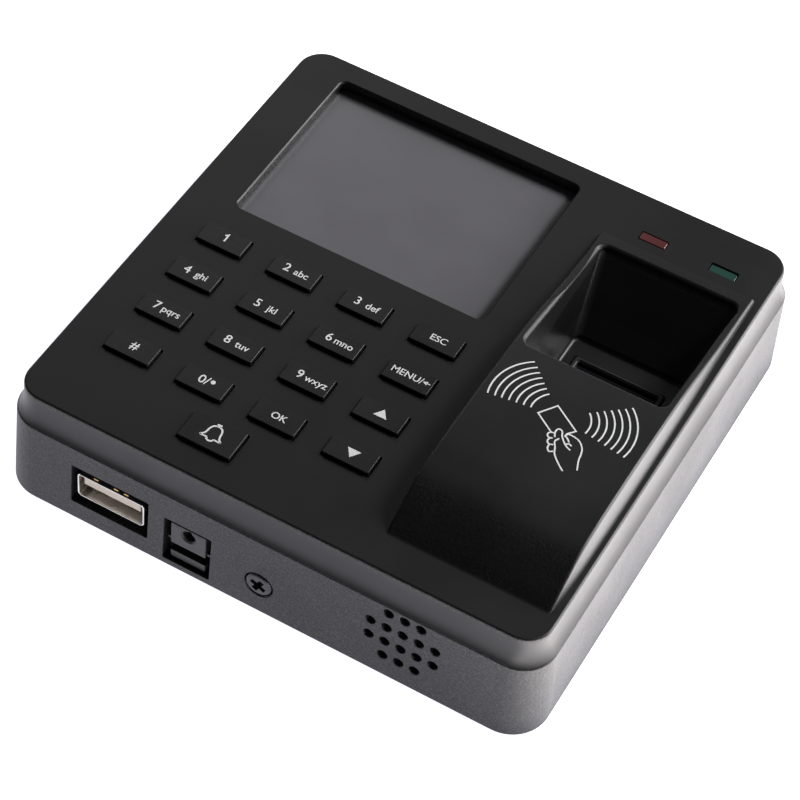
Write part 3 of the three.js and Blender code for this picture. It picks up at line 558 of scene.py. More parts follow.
def wedge_block():
    """The raised wedge as a height field with rounded long edges."""
    edge = 0.55
    xs = [WEDGE_X0 + edge * (1 - math.cos(a)) for a in quarter(5)]
    xs += [WEDGE_X0 + edge + (WEDGE_X1 - WEDGE_X0 - 2 * edge) * i / 6 for i in range(1, 6)]
    xs += [WEDGE_X1 - edge * (1 - math.cos(a)) for a in reversed(quarter(5))]
    steps = 90
    ys = [WEDGE_Y0 + (WEDGE_Y1 - WEDGE_Y0) * i / steps for i in range(steps + 1)]
    ys[-1] = WEDGE_Y1 - 0.25
    ys.append(WEDGE_Y1)
    bottom = FACE - 0.6
    # the right side leans out by this share of its height
    right_lean = 0.11
    verts, faces = [], []
    columns = len(xs)
    for row, y in enumerate(ys):
        rear = 0.3 if row == len(ys) - 1 else 0.0
        for x in xs:
            near = min(x - WEDGE_X0, WEDGE_X1 - x, edge)
            drop = edge - math.sqrt(max(edge**2 - (edge - near) ** 2, 0.0))
            verts.append((x, y, max(wedge_height(y) - drop - rear, bottom + 0.3)))
    top = len(verts)
    for row, y in enumerate(ys):
        height = verts[(row + 1) * columns - 1][2] - bottom
        feet = xs[:-1] + [xs[-1] + right_lean * height]
        verts += [(x, y, bottom) for x in feet]
    rows = len(ys)
    for r in range(rows - 1):
        for c in range(columns - 1):
            a = r * columns + c
            faces.append((a, a + 1, a + columns + 1, a + columns))
            b = top + a
            faces.append((b, b + columns, b + columns + 1, b + 1))
    for c in range(columns - 1):
        faces.append((c, top + c, top + c + 1, c + 1))
        a = (rows - 1) * columns + c
        faces.append((a, a + 1, top + a + 1, top + a))
    for r in range(rows - 1):
        a = r * columns
        faces.append((a, a + columns, top + a + columns, top + a))
        a += columns - 1
        faces.append((a, top + a, top + a + columns, a + columns))
    return new_object("wedge_block", verts, faces)


def flared_cutter(name, x0, x1, y0, y1, radius, floor, top, fillet, steps=5):
    """Cuts an opening whose rim at top is rounded outwards by fillet."""
    levels = [(floor, 0.0)]
    for a in quarter(steps)[:-1]:
        levels.append((top - fillet + fillet * math.sin(a), -fillet * (1 - math.cos(a))))
    levels.append((top + 0.5, -fillet - 0.05))
    return block(name, x0, x1, y0, y1, levels, radius, 6)


def well_ring(height, half, y0, y1, radius, steps=7):
    """A ring round the well; height gives z at y."""
    ring = rounded_ring(WELL_X - half, WELL_X + half, y0, y1, radius, steps)
    return [(x, y, height(y)) for x, y in ring]


def well_cutter():
    """The finger well: a rounded rim that follows the wedge, walls that close in, and a rounded floor."""
    fillet, floor_edge = 0.95, 0.8
    foot_corner = 1.6
    low = WELL_FLOOR + floor_edge
    rings = []
    for a in quarter(4):
        inset = floor_edge * (1 - math.sin(a))
        z = WELL_FLOOR + floor_edge * (1 - math.cos(a))
        corner = foot_corner - inset * 0.8
        rings.append(well_ring(lambda y, z=z: z, WELL_FOOT_HALF - inset, inset, WELL_FOOT_Y1 - inset, corner))
    for step in range(1, 4):
        t = step / 4
        half = WELL_FOOT_HALF + (WELL_HALF - WELL_FOOT_HALF) * t
        y1 = WELL_FOOT_Y1 + (WELL_Y1 - WELL_FOOT_Y1) * t
        rings.append(well_ring(
            lambda y, t=t: low + (wedge_height(y) - fillet - low) * t,
            half, WELL_Y0 * t, y1, foot_corner - 0.2 * t,
        ))
    rim = [(fillet * (1 - math.cos(a)), -fillet * (1 - math.sin(a))) for a in quarter(6)[:-1]]
    for out, rise in rim + [(fillet, 1.0)]:
        rings.append(well_ring(
            lambda y, rise=rise: wedge_height(y) + rise,
            WELL_HALF + out, WELL_Y0 - out, WELL_Y1 + out, 1.4 + out,
        ))
    return loft("well_cutter", rings)


def well_tub():
    """The walls and floor under the finger well."""
    wall = 1.7
    foot = well_ring(lambda y: WELL_FLOOR - 1.6, WELL_FOOT_HALF + wall, -wall, WELL_FOOT_Y1 + wall, 2.5, 6)
    rim = well_ring(lambda y: wedge_height(y) - 1.4, WELL_HALF + wall, WELL_Y0 - wall, WELL_Y1 + wall, 2.5, 6)
    return loft("well_tub", [foot, rim])


def cavities():
    """The hollow under the walls, the higher one under the face and the one in the wedge."""
    outer_wall, cove_wall, overlap_z = 2.6, 4.2, 17.0
    low_levels = [(-1.0, outer_wall), (overlap_z, outer_wall)]
    high_levels = [(overlap_z - 0.1, cove_wall), (FACE - 2.0, cove_wall)]
    low = block("low_cavity", BX0, BX1, BY0, BY1, low_levels, BODY_RADIUS, 8)
    high = block("high_cavity", BX0, BX1, BY0, BY1, high_levels, BODY_RADIUS, 8)
    ring = rounded_ring(WEDGE_X0 + 2.0, WEDGE_X1 - 2.0, -36.5, -1.0, 1.0, 4)
    floor = [(x, y, 21.0) for x, y in ring]
    roof = [(x, y, wedge_height(y) - 2.2) for x, y in ring]
    return [low, high, loft("wedge_hollow", [floor, roof])]


def key_nodes():
    return sorted(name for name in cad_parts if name.startswith("key_"))


def key_rect(name):
    """The keycap's own outline, inside its hidden flange."""
    (x0, y0, _), (x1, y1, top) = node_box(name)
    return x0 + KEY_FLANGE, x1 - KEY_FLANGE, y0 + KEY_FLANGE, y1 - KEY_FLANGE, top - 0.2


def grille_spots():
    """(x, z) of the speaker holes, in rows of 3, 5, 5 and 3."""
    cx, _, cz = node_centre("speaker")
    pitch, row_pitch = 2.95, 3.6
    spots = []
    for row, count in enumerate((3, 5, 5, 3)):
        for i in range(count):
            spots.append((cx + (i - (count - 1) / 2) * pitch, cz + (1.5 - row) * row_pitch))
    return spots


def face_cutter(name, x0, x1, y0, y1, grow, radius, fillet, steps=5):
    """Cuts an opening in the face, larger than the given rectangle by grow."""
    return flared_cutter(
        name, x0 - grow, x1 + grow, y0 - grow, y1 + grow, radius, 21.0, FACE, fillet, steps
    )


def case_body():
    body = join(body_block(), wedge_block())
    cut(body, *cavities())
    join(body, well_tub())
    cut(body, well_cutter())
    (x0, y0, _), (x1, y1, _) = node_box("display_window")
    cut(body, face_cutter("screen_cutter", x0, x1, y0, y1, -2.0, 1.2, 0.45))
    for name in key_nodes():
        x0, x1, y0, y1, _ = key_rect(name)
        cut(body, face_cutter("key_cutter", x0, x1, y0, y1, 0.25, 0.3, 0.12, 2))
    for name in ("lamp_window_red", "lamp_window_green"):
        (x0, y0, _), (x1, y1, _) = node_box(name)
        cut(body, face_cutter("lamp_cutter", x0, x1, y0, y1, -0.85, 0.3, 0.12, 2))
    cx, cy, _ = node_centre("finger_window")
    floor_hole = [(11.0, 0.0), (16.0, 0.0)]
    cut(body, block("sensor_cutter", cx - 8.85, cx + 8.85, cy - 7.6, cy + 7.6, floor_hole, 0.6, 4))
    cut_front_wall(body)
    return body


def cut_front_wall(body):
    """The openings for the two sockets, the speaker holes and the lock screw's counterbore."""
    cx, _, cz = node_centre("usb_shell")
    cut(body, front_box("usb_cutter", cx - 7.5, cx + 7.5, cz - 4.45, cz + 4.45, 0.25, 0.12))
    cx = node_centre("power_socket")[0]
    cut(body, front_box("socket_cutter", cx - 4.5, cx + 4.5, 1.7, 11.9, 0.25, 0.12))
    hole = [(0.0, 1.05), (0.98, 1.05), (1.12, 0.95), (6.0, 0.95)]
    for x, z in grille_spots():
        cut(body, turned("grille_cutter", (x, wall_y(z) - 1.0, z), (0, 1, 0), hole, 20))
    cx, _, cz = node_centre("lock_screw")
    counterbore = [(0.0, 2.85), (0.95, 2.85), (1.15, 2.68), (2.5, 2.68), (2.55, 1.5), (6.0, 1.5)]
    cut(body, turned("screw_cutter", (cx, wall_y(cz) - 1.0, cz), (0, 1, 0), counterbore, 40))


def front_box(name, x0, x1, z0, z1, radius, fillet):
    """A cutter for a rectangular opening in the leaning front wall."""
    rings = []
    rim = ((6.0, 0.0), (fillet, 0.0), (fillet * 0.3, fillet * 0.5), (-0.05, fillet), (-1.0, fillet))
    for depth, out in rim:
        ring = rounded_ring(x0 - out, x1 + out, z0 - out, z1 + out, radius + out, 4)
        rings.append([(x, wall_y(z) + depth, z) for x, z in ring])
    return loft(name, rings)


finish_piece(case_body(), "case", "front_housing")


# --- line art


def stroke(points, width, height, closed=False, thick=0.05):
    """Vertices and faces of a thin raised line through (x, y) points. height gives z at a point."""
    count = len(points)
    sides = []
    for i, (x, y) in enumerate(points):
        before = points[i - 1] if i or closed else points[i]
        after = points[(i + 1) % count] if i < count - 1 or closed else points[i]
        a = Vector((x - before[0], y - before[1]))
        b = Vector((after[0] - x, after[1] - y))
        a = a.normalized() if a.length > 1e-6 else b.normalized()
        b = b.normalized() if b.length > 1e-6 else a
        bisector = a + b
        bisector = bisector.normalized() if bisector.length > 1e-6 else a
        normal = Vector((-bisector.y, bisector.x))
        stretch = 1.0 / max(0.45, normal.dot(Vector((-a.y, a.x))))
        sides.append(normal * width / 2 * stretch)
    verts = []
    for (x, y), side in zip(points, sides):
        for sign in (1, -1):
            px, py = x + side.x * sign, y + side.y * sign
            verts.append((px, py, height(px, py) + thick))
            verts.append((px, py, height(px, py) - thick))
    faces = []
    for i in range(count if closed else count - 1):
        a, b = 4 * i, 4 * ((i + 1) % count)
        faces += [(a, a + 2, b + 2, b), (a + 1, b + 1, b + 3, a + 3)]
        faces += [(a, b, b + 1, a + 1), (a + 2, a + 3, b + 3, b + 2)]
    if not closed:
        a = 4 * (count - 1)
        faces += [(0, 1, 3, 2), (a, a + 2, a + 3, a + 1)]
    return verts, faces


def line_piece(name, lines):
    """One object from many strokes."""
    verts, faces = [], []
    for more_verts, more_faces in lines:
        base = len(verts)
        verts += more_verts
        faces += [tuple(base + i for i in face) for face in more_faces]
    return new_object(name, verts, faces)


def spline(t, a, b, c, d):
    """Catmull-Rom value between b and c."""
    return 0.5 * (2 * b + (c - a) * t + (2 * a - 5 * b + 4 * c - d) * t * t + (3 * b - a - 3 * c + d) * t**3)


def smooth_path(points, per_span=6, closed=False):
    """Catmull-Rom curve through points."""
    count = len(points)
    path = []
    spans = count if closed else count - 1
    for i in range(spans):
        p0 = points[i - 1] if i or closed else points[0]
        p1 = points[i]
        p2 = points[(i + 1) % count]
        p3 = points[(i + 2) % count] if i + 2 < count or closed else points[-1]
        for k in range(per_span):
            t = k / per_span
            path.append(tuple(spline(t, *values) for values in zip(p0, p1, p2, p3)))
    if not closed:
        path.append(points[-1])
    return path


def letters(name, text, size, x, y, z, bold=0.0):
    """Printed letters centred on (x, y) as a thin mesh in millimetres."""
    curve = bpy.data.curves.new(name, "FONT")
    curve.body = text
    curve.size = size
    curve.align_x = "CENTER"
    curve.extrude = 0.03
    curve.offset = bold
    curve.resolution_u = 6
    source = put(name + "_source", curve)
    bpy.context.view_layer.update()
    graph = bpy.context.evaluated_depsgraph_get()
    mesh = bpy.data.meshes.new_from_object(source.evaluated_get(graph))
    bpy.data.objects.remove(source)
    mesh.transform(Matrix.Translation((x, y, z)))
    return put(name, mesh)


def merge(name, *objects):
    """Joins meshes into one object without booleans."""
    work = bmesh.new()
    for obj in objects:
        work.from_mesh(obj.data)
        bpy.data.objects.remove(obj)
    mesh = bpy.data.meshes.new(name)
    work.to_mesh(mesh)
    work.free()
    return put(name, mesh)


# --- keypad

KEY_TEXT = {
    "key_2": ("2", "abc"), "key_3": ("3", "def"), "key_esc": ("", "ESC"),
    "key_4": ("4", "ghi"), "key_5": ("5", "jkl"), "key_6": ("6", "mno"), "key_menu": ("", "MENU/"),
    "key_7": ("7", "pqrs"), "key_8": ("8", "tuv"), "key_9": ("9", "wxyz"), "key_hash": ("#", ""),
    "key_0": ("0/", ""), "key_ok": ("", "OK"),
}
# letter sizes, and how far their outlines are thickened
BIG, SMALL, CAPITALS, BOLD = 2.5, 2.0, 1.95, 0.015


def keycap(name):
    """A cap with a hidden flange at its foot."""
    x0, x1, y0, y1, top = key_rect(name)
    foot = node_box(name)[0][2]
    flange_top = foot + 1.0
    levels = [(foot, -KEY_FLANGE), (flange_top, -KEY_FLANGE), (flange_top + 0.01, 0.0)]
    levels += rising_rim(top, 0.09)
    cap = block(name + "_cap", x0, x1, y0, y1, levels, 0.28, 4)
    return finish_piece(cap, "keycap", name, name, angle=40)


def keypad_mat():
    """A silicone sheet with a low dome under each key, which stays clear of the key at full travel."""
    low, high = node_box("keypad_mat")
    sheet_top = low[2] + 0.55
    mat = soft_box("mat_sheet", low[0], high[0], low[1], high[1], low[2], sheet_top, 0.1, 1.0)
    profile = [(0.0, 1.9), (0.15, 1.9), (0.32, 1.72), (0.4, 1.45), (0.44, 1.1)]
    domes = []
    for name in key_nodes():
        cx, cy, _ = node_centre(name)
        domes.append(turned("mat_dome", (cx, cy, sheet_top - 0.15), (0, 0, 1), profile, 24))
    return finish_piece(join(mat, *domes), "silicone", "keypad_mat")


def flat_shape(name, outline, z, thick=0.03):
    """A thin printed shape from an (x, y) outline."""
    return loft(name, [[(x, y, z - thick) for x, y in outline], [(x, y, z + thick) for x, y in outline]])


def arrow_legend(cx, cy, top, sign):
    """A triangle that points up or down."""
    base, tip = cy - 0.75 * sign + 0.15, cy + 1.05 * sign + 0.15
    outline = [(cx - 1.25, base), (cx + 1.25, base), (cx, tip)]
    return [flat_shape("arrow", outline[::sign], top)]


def one_legend(cx, text_y, top):
    flag = [(cx - 0.4, text_y + 1.3), (cx + 0.1, text_y + 1.72), (cx + 0.1, text_y)]
    return [line_piece("one", [stroke(flag, 0.3, lambda x, y: top, False, 0.03)])]


def menu_legend(cx, cy, text_y, top):
    """A word, and a small arrow that points to the left."""
    stem = [(cx + 3.0, cy + 0.2), (cx + 3.75, cy + 0.2)]
    head = [(cx + 3.15, cy - 0.25), (cx + 3.15, cy + 0.65), (cx + 2.35, cy + 0.2)]
    return [
        letters("menu", KEY_TEXT["key_menu"][1], CAPITALS, cx - 0.6, text_y + 0.1, top, BOLD),
        line_piece("stem", [stroke(stem, 0.2, lambda x, y: top)]),
        flat_shape("head", head, top),
    ]


def zero_legend(cx, cy, text_y, top):
    """A digit, a slash and a dot."""
    radius, sides = 0.42, 16
    dot = []
    for i in range(sides):
        angle = i * 2 * math.pi / sides
        dot.append((cx + 1.25 + radius * math.cos(angle), cy + 0.55 + radius * math.sin(angle)))
    zero = letters("zero", KEY_TEXT["key_0"][0], BIG, cx - 0.35, text_y, top, BOLD)
    return [zero, flat_shape("dot", dot, top)]


def text_legend(name, cx, text_y, top):
    """A word, or a digit with its letters to the right."""
    big, small = KEY_TEXT[name]
    if not (big and small):
        return [letters("word", big or small, CAPITALS if small else BIG, cx + 0.15, text_y, top, BOLD)]
    return [
        letters("big", big, BIG, cx - 1.65, text_y, top, BOLD),
        letters("small", small, SMALL, cx + (1.5 if big == "9" else 1.22), text_y, top, BOLD),
    ]


def legend(name):
    x0, x1, y0, y1, top = key_rect(name)
    cx, cy = (x0 + x1) / 2 + 0.12, (y0 + y1) / 2
    text_y = cy - 0.55
    if name in ("key_up", "key_down"):
        parts = arrow_legend(cx, cy, top, 1 if name == "key_up" else -1)
    elif name == "key_1":
        parts = one_legend(cx, text_y, top)
    elif name == "key_bell":
        parts = [line_piece("bell", bell_lines(cx, cy, lambda x, y: top))]
    elif name == "key_menu":
        parts = menu_legend(cx, cy, text_y, top)
    elif name == "key_0":
        parts = zero_legend(cx, cy, text_y, top)
    else:
        parts = text_legend(name, cx, text_y, top)
    piece = merge(name + "_legend", *parts)
    return finish_piece(piece, "legend", None, name, angle=40, weighted=False)


def bell_lines(cx, cy, height):
    """A bell in outline: dome, flared mouth, clapper and crown."""
    right = [(0.0, 1.75), (0.75, 1.5), (1.12, 0.85), (1.25, 0.0), (1.45, -0.55), (2.0, -1.05)]
    left = [(-x, y) for x, y in reversed(right)]
    outline = smooth_path(left[:-1] + right, 5)
    lines = [outline, [(2.0, -1.05), (0.62, -1.05)], [(-0.62, -1.05), (-2.0, -1.05)]]
    turns = [-math.pi * i / 8 for i in range(9)]
    clapper = [(0.62 * math.cos(a), -1.05 + 0.55 * math.sin(a)) for a in turns]
    crown = [(-0.3, 1.75), (-0.28, 2.1), (0.28, 2.1), (0.3, 1.75)]
    lines += [clapper, crown]
    return [stroke([(cx + x, cy + y) for x, y in line], 0.3, height, False, 0.03) for line in lines]


for key_name in key_nodes():
    keycap(key_name)
    legend(key_name)


# --- card symbol


def on_wedge(x, y):
    return wedge_height(y)


def arc_between(start, end, radius, steps=14):
    """Points on the arc of a given radius whose centre is to the right of the way from start to end."""
    a, b = Vector(start), Vector(end)
    half = (b - a) / 2
    away = Vector((half.y, -half.x)).normalized()
    centre = (a + b) / 2 + away * math.sqrt(max(radius**2 - half.length_squared, 0.0))
    first = math.atan2(a.y - centre.y, a.x - centre.x)
    turn = -2 * math.asin(min(1.0, half.length / radius))
    angles = [first + turn * i / steps for i in range(steps + 1)]
    return [(centre.x + radius * math.cos(angle), centre.y + radius * math.sin(angle)) for angle in angles]


WAVES = [
    # left waves, outer to inner: lower end, upper end, radius
    ((19.55, -12.4), (22.97, -1.91), 9.67), ((20.81, -12.22), (23.91, -2.78), 8.85),
    ((21.97, -12.03), (24.76, -3.64), 8.05), ((23.2, -11.84), (25.62, -4.46), 7.25),
    ((24.46, -11.64), (26.47, -5.33), 6.45), ((25.71, -11.44), (27.33, -6.15), 5.64),
    ((26.94, -11.24), (28.24, -6.99), 4.83),
    # right waves, inner to outer: upper end, lower end, radius
    ((35.63, -6.96), (36.96, -11.31), 4.55), ((36.57, -6.14), (38.24, -11.49), 5.53),
    ((37.47, -5.31), (39.48, -11.67), 6.52), ((38.4, -4.48), (40.74, -11.86), 7.5),
    ((39.3, -3.66), (41.97, -12.04), 8.49), ((40.2, -2.82), (43.2, -12.22), 9.47),
    ((41.09, -1.98), (44.43, -12.41), 10.46),
]
CARD = [(32.25, -14.15), (28.51, -11.64), (30.58, -8.47), (35.53, -11.74), (34.45, -13.1)]
HAND = [
    [(33.15, -14.75), (32.72, -13.7), (32.85, -12.95), (33.35, -12.8), (33.75, -13.15), (34.05, -13.85),
     (34.75, -14.7), (35.65, -15.45), (36.5, -15.8)],
    [(33.9, -14.6), (33.55, -15.5), (34.15, -16.6), (34.7, -17.85), (35.9, -19.1), (37.4, -20.3)],
    [(32.75, -14.0), (32.1, -14.2), (31.85, -14.75), (32.25, -15.25), (32.95, -15.1)],
    [(32.6, -15.25), (32.45, -15.95), (32.95, -16.5), (33.65, -16.25)],
    [(33.1, -16.55), (33.15, -17.3), (33.65, -17.85), (34.3, -17.5)],
    [(34.45, -13.45), (34.8, -12.95), (35.6, -12.95), (36.8, -13.25), (37.85, -14.25), (38.35, -15.5),
     (38.6, -16.9), (39.3, -18.9)],
    [(34.35, -13.55), (35.0, -13.85), (35.6, -14.45)],
    [(35.3, -15.15), (35.75, -14.75), (36.3, -14.95)],
]


def card_symbol():
    """A card held in a hand between two sets of waves."""
    width = 0.27
    lines = [stroke(arc_between(*wave), width, on_wedge) for wave in WAVES]
    lines.append(stroke(CARD, width, on_wedge))
    lines += [stroke(smooth_path(path, 5), width, on_wedge) for path in HAND]
    piece = line_piece("card_symbol", lines)
    return finish_piece(piece, "legend", angle=40, weighted=False)


card_symbol()


# --- display and lamps


def window(name, node, look, edge, radius):
    """A flat window with rounded edges, as large as its node."""
    (x0, y0, z0), (x1, y1, z1) = node_box(node)
    finish_piece(soft_box(name, x0, x1, y0, y1, z0, z1, edge, radius), look, node)


def lamp_lens(colour, rise):
    """A lens with a hidden flange at its foot; its top stands rise over the node's."""
    node = "lamp_window_" + colour
    low, high = node_box(node)
    rim, flange = 1.0, 0.98
    levels = [(low[2], -flange), (low[2] + 1.0, -flange), (low[2] + 1.01, 0.0)]
    levels += rising_rim(high[2] + rise, 0.15)
    obj = block("lens_" + colour, low[0] + rim, high[0] - rim, low[1] + rim, high[1] - rim, levels, 0.25, 4)
    return finish_piece(obj, colour + "_lens", node)


window("display_glass", "display_window", "screen", 0.2, 0.8)
lamp_lens("red", 0.2)
lamp_lens("green", -0.05)


# --- sensor


def sensor_frame():
    """A raised lip round the sensor with a chamfer down to the glass."""
    (x0, y0, z0), (x1, y1, _) = node_box("sensor_bezel")
    flange = 1.5
    x0, x1, y0, y1 = x0 + flange, x1 - flange, y0 + flange, y1 - flange
    z1 = WELL_FLOOR + 0.35
    outer = block("sensor_lip", x0, x1, y0, y1, [
        (z0, -flange), (z0 + 1.0, -flange), (z0 + 1.01, 0.0), (z1 - 0.15, 0.0), (z1 - 0.04, 0.04), (z1, 0.15)
    ], 0.6, 5)
    inner = block("sensor_bore", x0, x1, y0, y1, [
        (z0 - 1.0, 1.0), (z1 - 0.9, 1.0), (z1 - 0.25, 0.75), (z1 - 0.08, 0.5), (z1 + 0.5, 0.42)
    ], 1.3, 5)
    return finish_piece(cut(outer, inner), "inner", "sensor_bezel")


sensor_frame()
window("sensor_glass", "finger_window", "sensor_glass", 0.15, 0.5)


# --- ports


def sheet_tube(name, x0, x1, z0, z1, y0, y1, radius, sheet):
    """A folded sheet-metal tube along Y with a rolled mouth."""
    rings = []
    for y, out in ((y1, 0.0), (y0 + 0.2, 0.0), (y0 + 0.06, -0.03), (y0, -0.1)):
        ring = rounded_ring(x0 - out, x1 + out, z0 - out, z1 + out, radius, 6)
        rings.append([(x, y, z) for x, z in ring])
    for y, inset in ((y0, sheet - 0.1), (y0 + 0.06, sheet - 0.03), (y0 + 0.2, sheet), (y1, sheet)):
        ring = rounded_ring(x0 + inset, x1 - inset, z0 + inset, z1 - inset, max(radius - inset, 0.2), 6)
        rings.append([(x, y, z) for x, z in ring])
    count, total = len(rings[0]), len(rings)
    verts = [point for ring in rings for point in ring]
    faces = []
    for level in range(total):
        base, after = level * count, ((level + 1) % total) * count
        for i in range(count):
            j = (i + 1) % count
            faces.append((base + i, base + j, after + j, after + i))
    return new_object(name, verts, faces)


def spring_leaf(name, x, y0, z, sign):
    """A bowed contact spring in one of the shell's slots; sign says which wall it hangs from."""
    half, sheet = 0.85, 0.22
    rings = []
    for y, rise in ((2.1, 0.0), (4.0, 0.28), (6.0, 0.0), (8.1, -0.1)):
        mid = z - sign * 0.17 - sign * 0.35 * (0.4 + rise)
        corners = ((-half, -sheet), (half, -sheet), (half, sheet), (-half, sheet))
        rings.append([(x + across, y0 + y, mid + up / 2) for across, up in corners])
    finish_piece(loft(name, rings), "spring")


def usb_port():
    """The folded shell with four spring slots, their springs, and the latches on its top."""
    (x0, y0, z0), (x1, y1, z1) = node_box("usb_shell")
    cx = (x0 + x1) / 2
    slots = (cx - 3.1, cx + 3.1)
    tube = sheet_tube("usb_case", x0, x1, z0, z1, y0, y1, 0.75, 0.35)
    for x in slots:
        for z in (z1, z0):
            through = [(z - 1.0, 0), (z + 1.0, 0)]
            cut(tube, block("spring_slot", x - 1.0, x + 1.0, y0 + 2.0, y0 + 8.0, through, 0.1, 2))
    finish_piece(tube, "shell_steel", "usb_shell")
    latches = [
        soft_box("latch", cx + dx - 0.45, cx + dx + 0.45, y0 + 0.25, y0 + 1.4, z1 - 0.05, z1 + 0.42, 0.06)
        for dx in (-3.0, 0.9, 2.9)
    ]
    finish_piece(merge("usb_latches", *latches), "contact")
    for index, x in enumerate(slots):
        for side, z, sign in (("top", z1, 1), ("bottom", z0, -1)):
            spring_leaf(f"usb_spring_{side}_{index + 1}", x, y0, z, sign)


def usb_tongue():
    """The plastic tongue with four contact strips under it."""
    (x0, y0, z0), (x1, y1, z1) = node_box("usb_tongue")
    back = soft_box("tongue", x0, x1, y1 - 3.0, y1, z0, z1, 0.12)
    top, foot = z1 - 0.3, z1 - 2.85
    # side view of the blade: flat top, upright nose and a long bevel under it
    side = [(y0 + 0.15, top), (y0, top - 0.15), (y0, foot + 0.7), (y0 + 0.8, foot)]
    side += [(y1 - 1.0, foot), (y1 - 1.0, top)]
    join(back, loft("blade", [[(x, y, z) for y, z in side] for x in (x0 + 0.4, x1 - 0.4)]))
    finish_piece(back, "tongue", "usb_tongue")
    cx = (x0 + x1) / 2
    strips = [
        soft_box("contact", cx + dx - 0.5, cx + dx + 0.5, y0 + 3.0, y1 - 3.2, foot - 0.1, foot + 0.1, 0.04)
        for dx in (-3.5, -1.0, 1.0, 3.5)
    ]
    finish_piece(merge("usb_contacts", *strips), "contact")


def power_port():
    """A moulded block with a pin hole over a cross slot, the pin in it, and two tabs in the slot."""
    (x0, y0, z0), (x1, y1, z1) = node_box("power_socket")
    edge = 0.25
    slot_low, slot_high = z0 + 1.8, z0 + 3.9
    rings = []
    for y, inset in ((y1, 0.0), (y0 + edge, 0.0), (y0 + edge * 0.3, edge * 0.3), (y0, edge)):
        ring = rounded_ring(x0 + inset, x1 - inset, z0 + inset, z1 - inset, 0.3, 4)
        rings.append([(x, y, z) for x, z in ring])
    body = loft("power_jack", rings)
    cut(body, soft_box("slot", x0 - 1.0, x1 + 1.0, y0 - 1.0, y1 - 4.0, slot_low, slot_high, 0.1))
    cx, hole_z = (x0 + x1) / 2, z1 - 1.9
    bore = [(0.0, 1.55), (1.0, 1.5), (1.3, 1.2), (9.0, 1.2)]
    cut(body, turned("pin_hole", (cx, y0 - 1.0, hole_z), (0, 1, 0), bore, 28))
    cut(body, key_notch(cx, hole_z, y0))
    finish_piece(body, "socket", "power_socket")
    pin = turned("jack_pin", (cx, y0 + 2.0, hole_z), (0, 1, 0), [(0.0, 0.2), (0.3, 0.5), (7.6, 0.5)], 16)
    finish_piece(pin, "shell_steel")
    tabs = []
    for a, b in ((x0 - 0.75, x0 + 0.1), (x1 - 0.1, x1 + 0.75)):
        tabs.append(soft_box("tab", a, b, y0 + 0.5, y0 + 2.2, slot_high + 0.1, slot_high + 0.75, 0.08))
    finish_piece(merge("jack_tabs", *tabs), "socket")


def key_notch(cx, hole_z, y0):
    """The small key notch up and to the right of the pin hole."""
    tool = soft_box("notch", -0.35, 0.35, y0 - 1.0, y0 + 2.0, 0.4, 1.75, 0.1)
    turn = Matrix.Translation((cx, 0, hole_z)) @ Matrix.Rotation(math.radians(12), 4, "Y")
    return turn_about(tool, turn)


usb_port()
usb_tongue()
power_port()


# --- screws


def cross_recess(depth, arm, width):
    """Cutter for a cross recess opening towards -Z at the origin."""
    half = width / 2
    taper = [(-1.0, -0.02), (0.0, 0.0), (depth, width * 0.2)]
    first = block("arm", -arm, arm, -half, half, taper, 0.06, 2)
    return join(first, block("arm2", -half, half, -arm, arm, taper, 0.06, 2))


def screw_profile(head_radius, head_height, shank_radius, length, thread):
    """A domed head and a threaded shank, as (distance along the axis, radius) pairs."""
    rim, root = 0.12, shank_radius * 0.84
    profile = [(0.0, head_radius * 0.72), (0.05, head_radius * 0.86), (0.16, head_radius * 0.95)]
    profile += [(0.34, head_radius), (head_height - rim, head_radius)]
    profile += [(head_height, head_radius - rim), (head_height + 0.01, shank_radius)]
    z = head_height + 0.3
    while z + thread < length - 0.4:
        profile += [(z, root), (z + thread * 0.45, shank_radius), (z + thread * 0.6, shank_radius)]
        z += thread
    return profile + [(length - 0.35, root), (length, shank_radius * 0.4)]


def screw_piece(node, head, shank_radius, thread, recess, look, to_frame):
    """A cross-headed screw, made with its head down at z 0 and its shank up, then turned into the frame."""
    low, high = node_box(node)
    length = max(b - a for a, b in zip(low, high))
    head_radius, head_height = head
    arm, slot, deep = recess
    profile = screw_profile(head_radius, head_height, shank_radius, length, thread)
    screw = turned(node + "_piece", (0, 0, 0), (0, 0, 1), profile, 28)
    cut(screw, cross_recess(head_height * deep, head_radius * arm, head_radius * slot))
    turn_about(screw, to_frame)
    return finish_piece(screw, look, node)


# the recess's arm, width and depth are shares of the head's radius, radius and height
SMALL_RECESS, LARGE_RECESS = (0.56, 0.26, 0.62), (0.62, 0.42, 0.95)

for index in range(4):
    for kind, head_height in (("cover", 0.7), ("board", 0.8)):
        node = f"{kind}_screw_{index + 1}"
        cx, cy, _ = node_centre(node)
        spot = Matrix.Translation((cx, cy, node_box(node)[0][2]))
        screw_piece(node, (1.9, head_height), 0.85, 0.35, SMALL_RECESS, "screw_steel", spot)

cx, _, cz = node_centre("lock_screw")
lock_spot = Matrix.Translation((cx, node_box("lock_screw")[0][1], cz))
lock_spot = lock_spot @ Matrix.Rotation(math.radians(-90), 4, "X") @ Matrix.Rotation(math.radians(28), 4, "Z")
screw_piece("lock_screw", (2.4, 1.4), 1.2, 0.5, LARGE_RECESS, "lock_steel", lock_spot)


# --- speaker


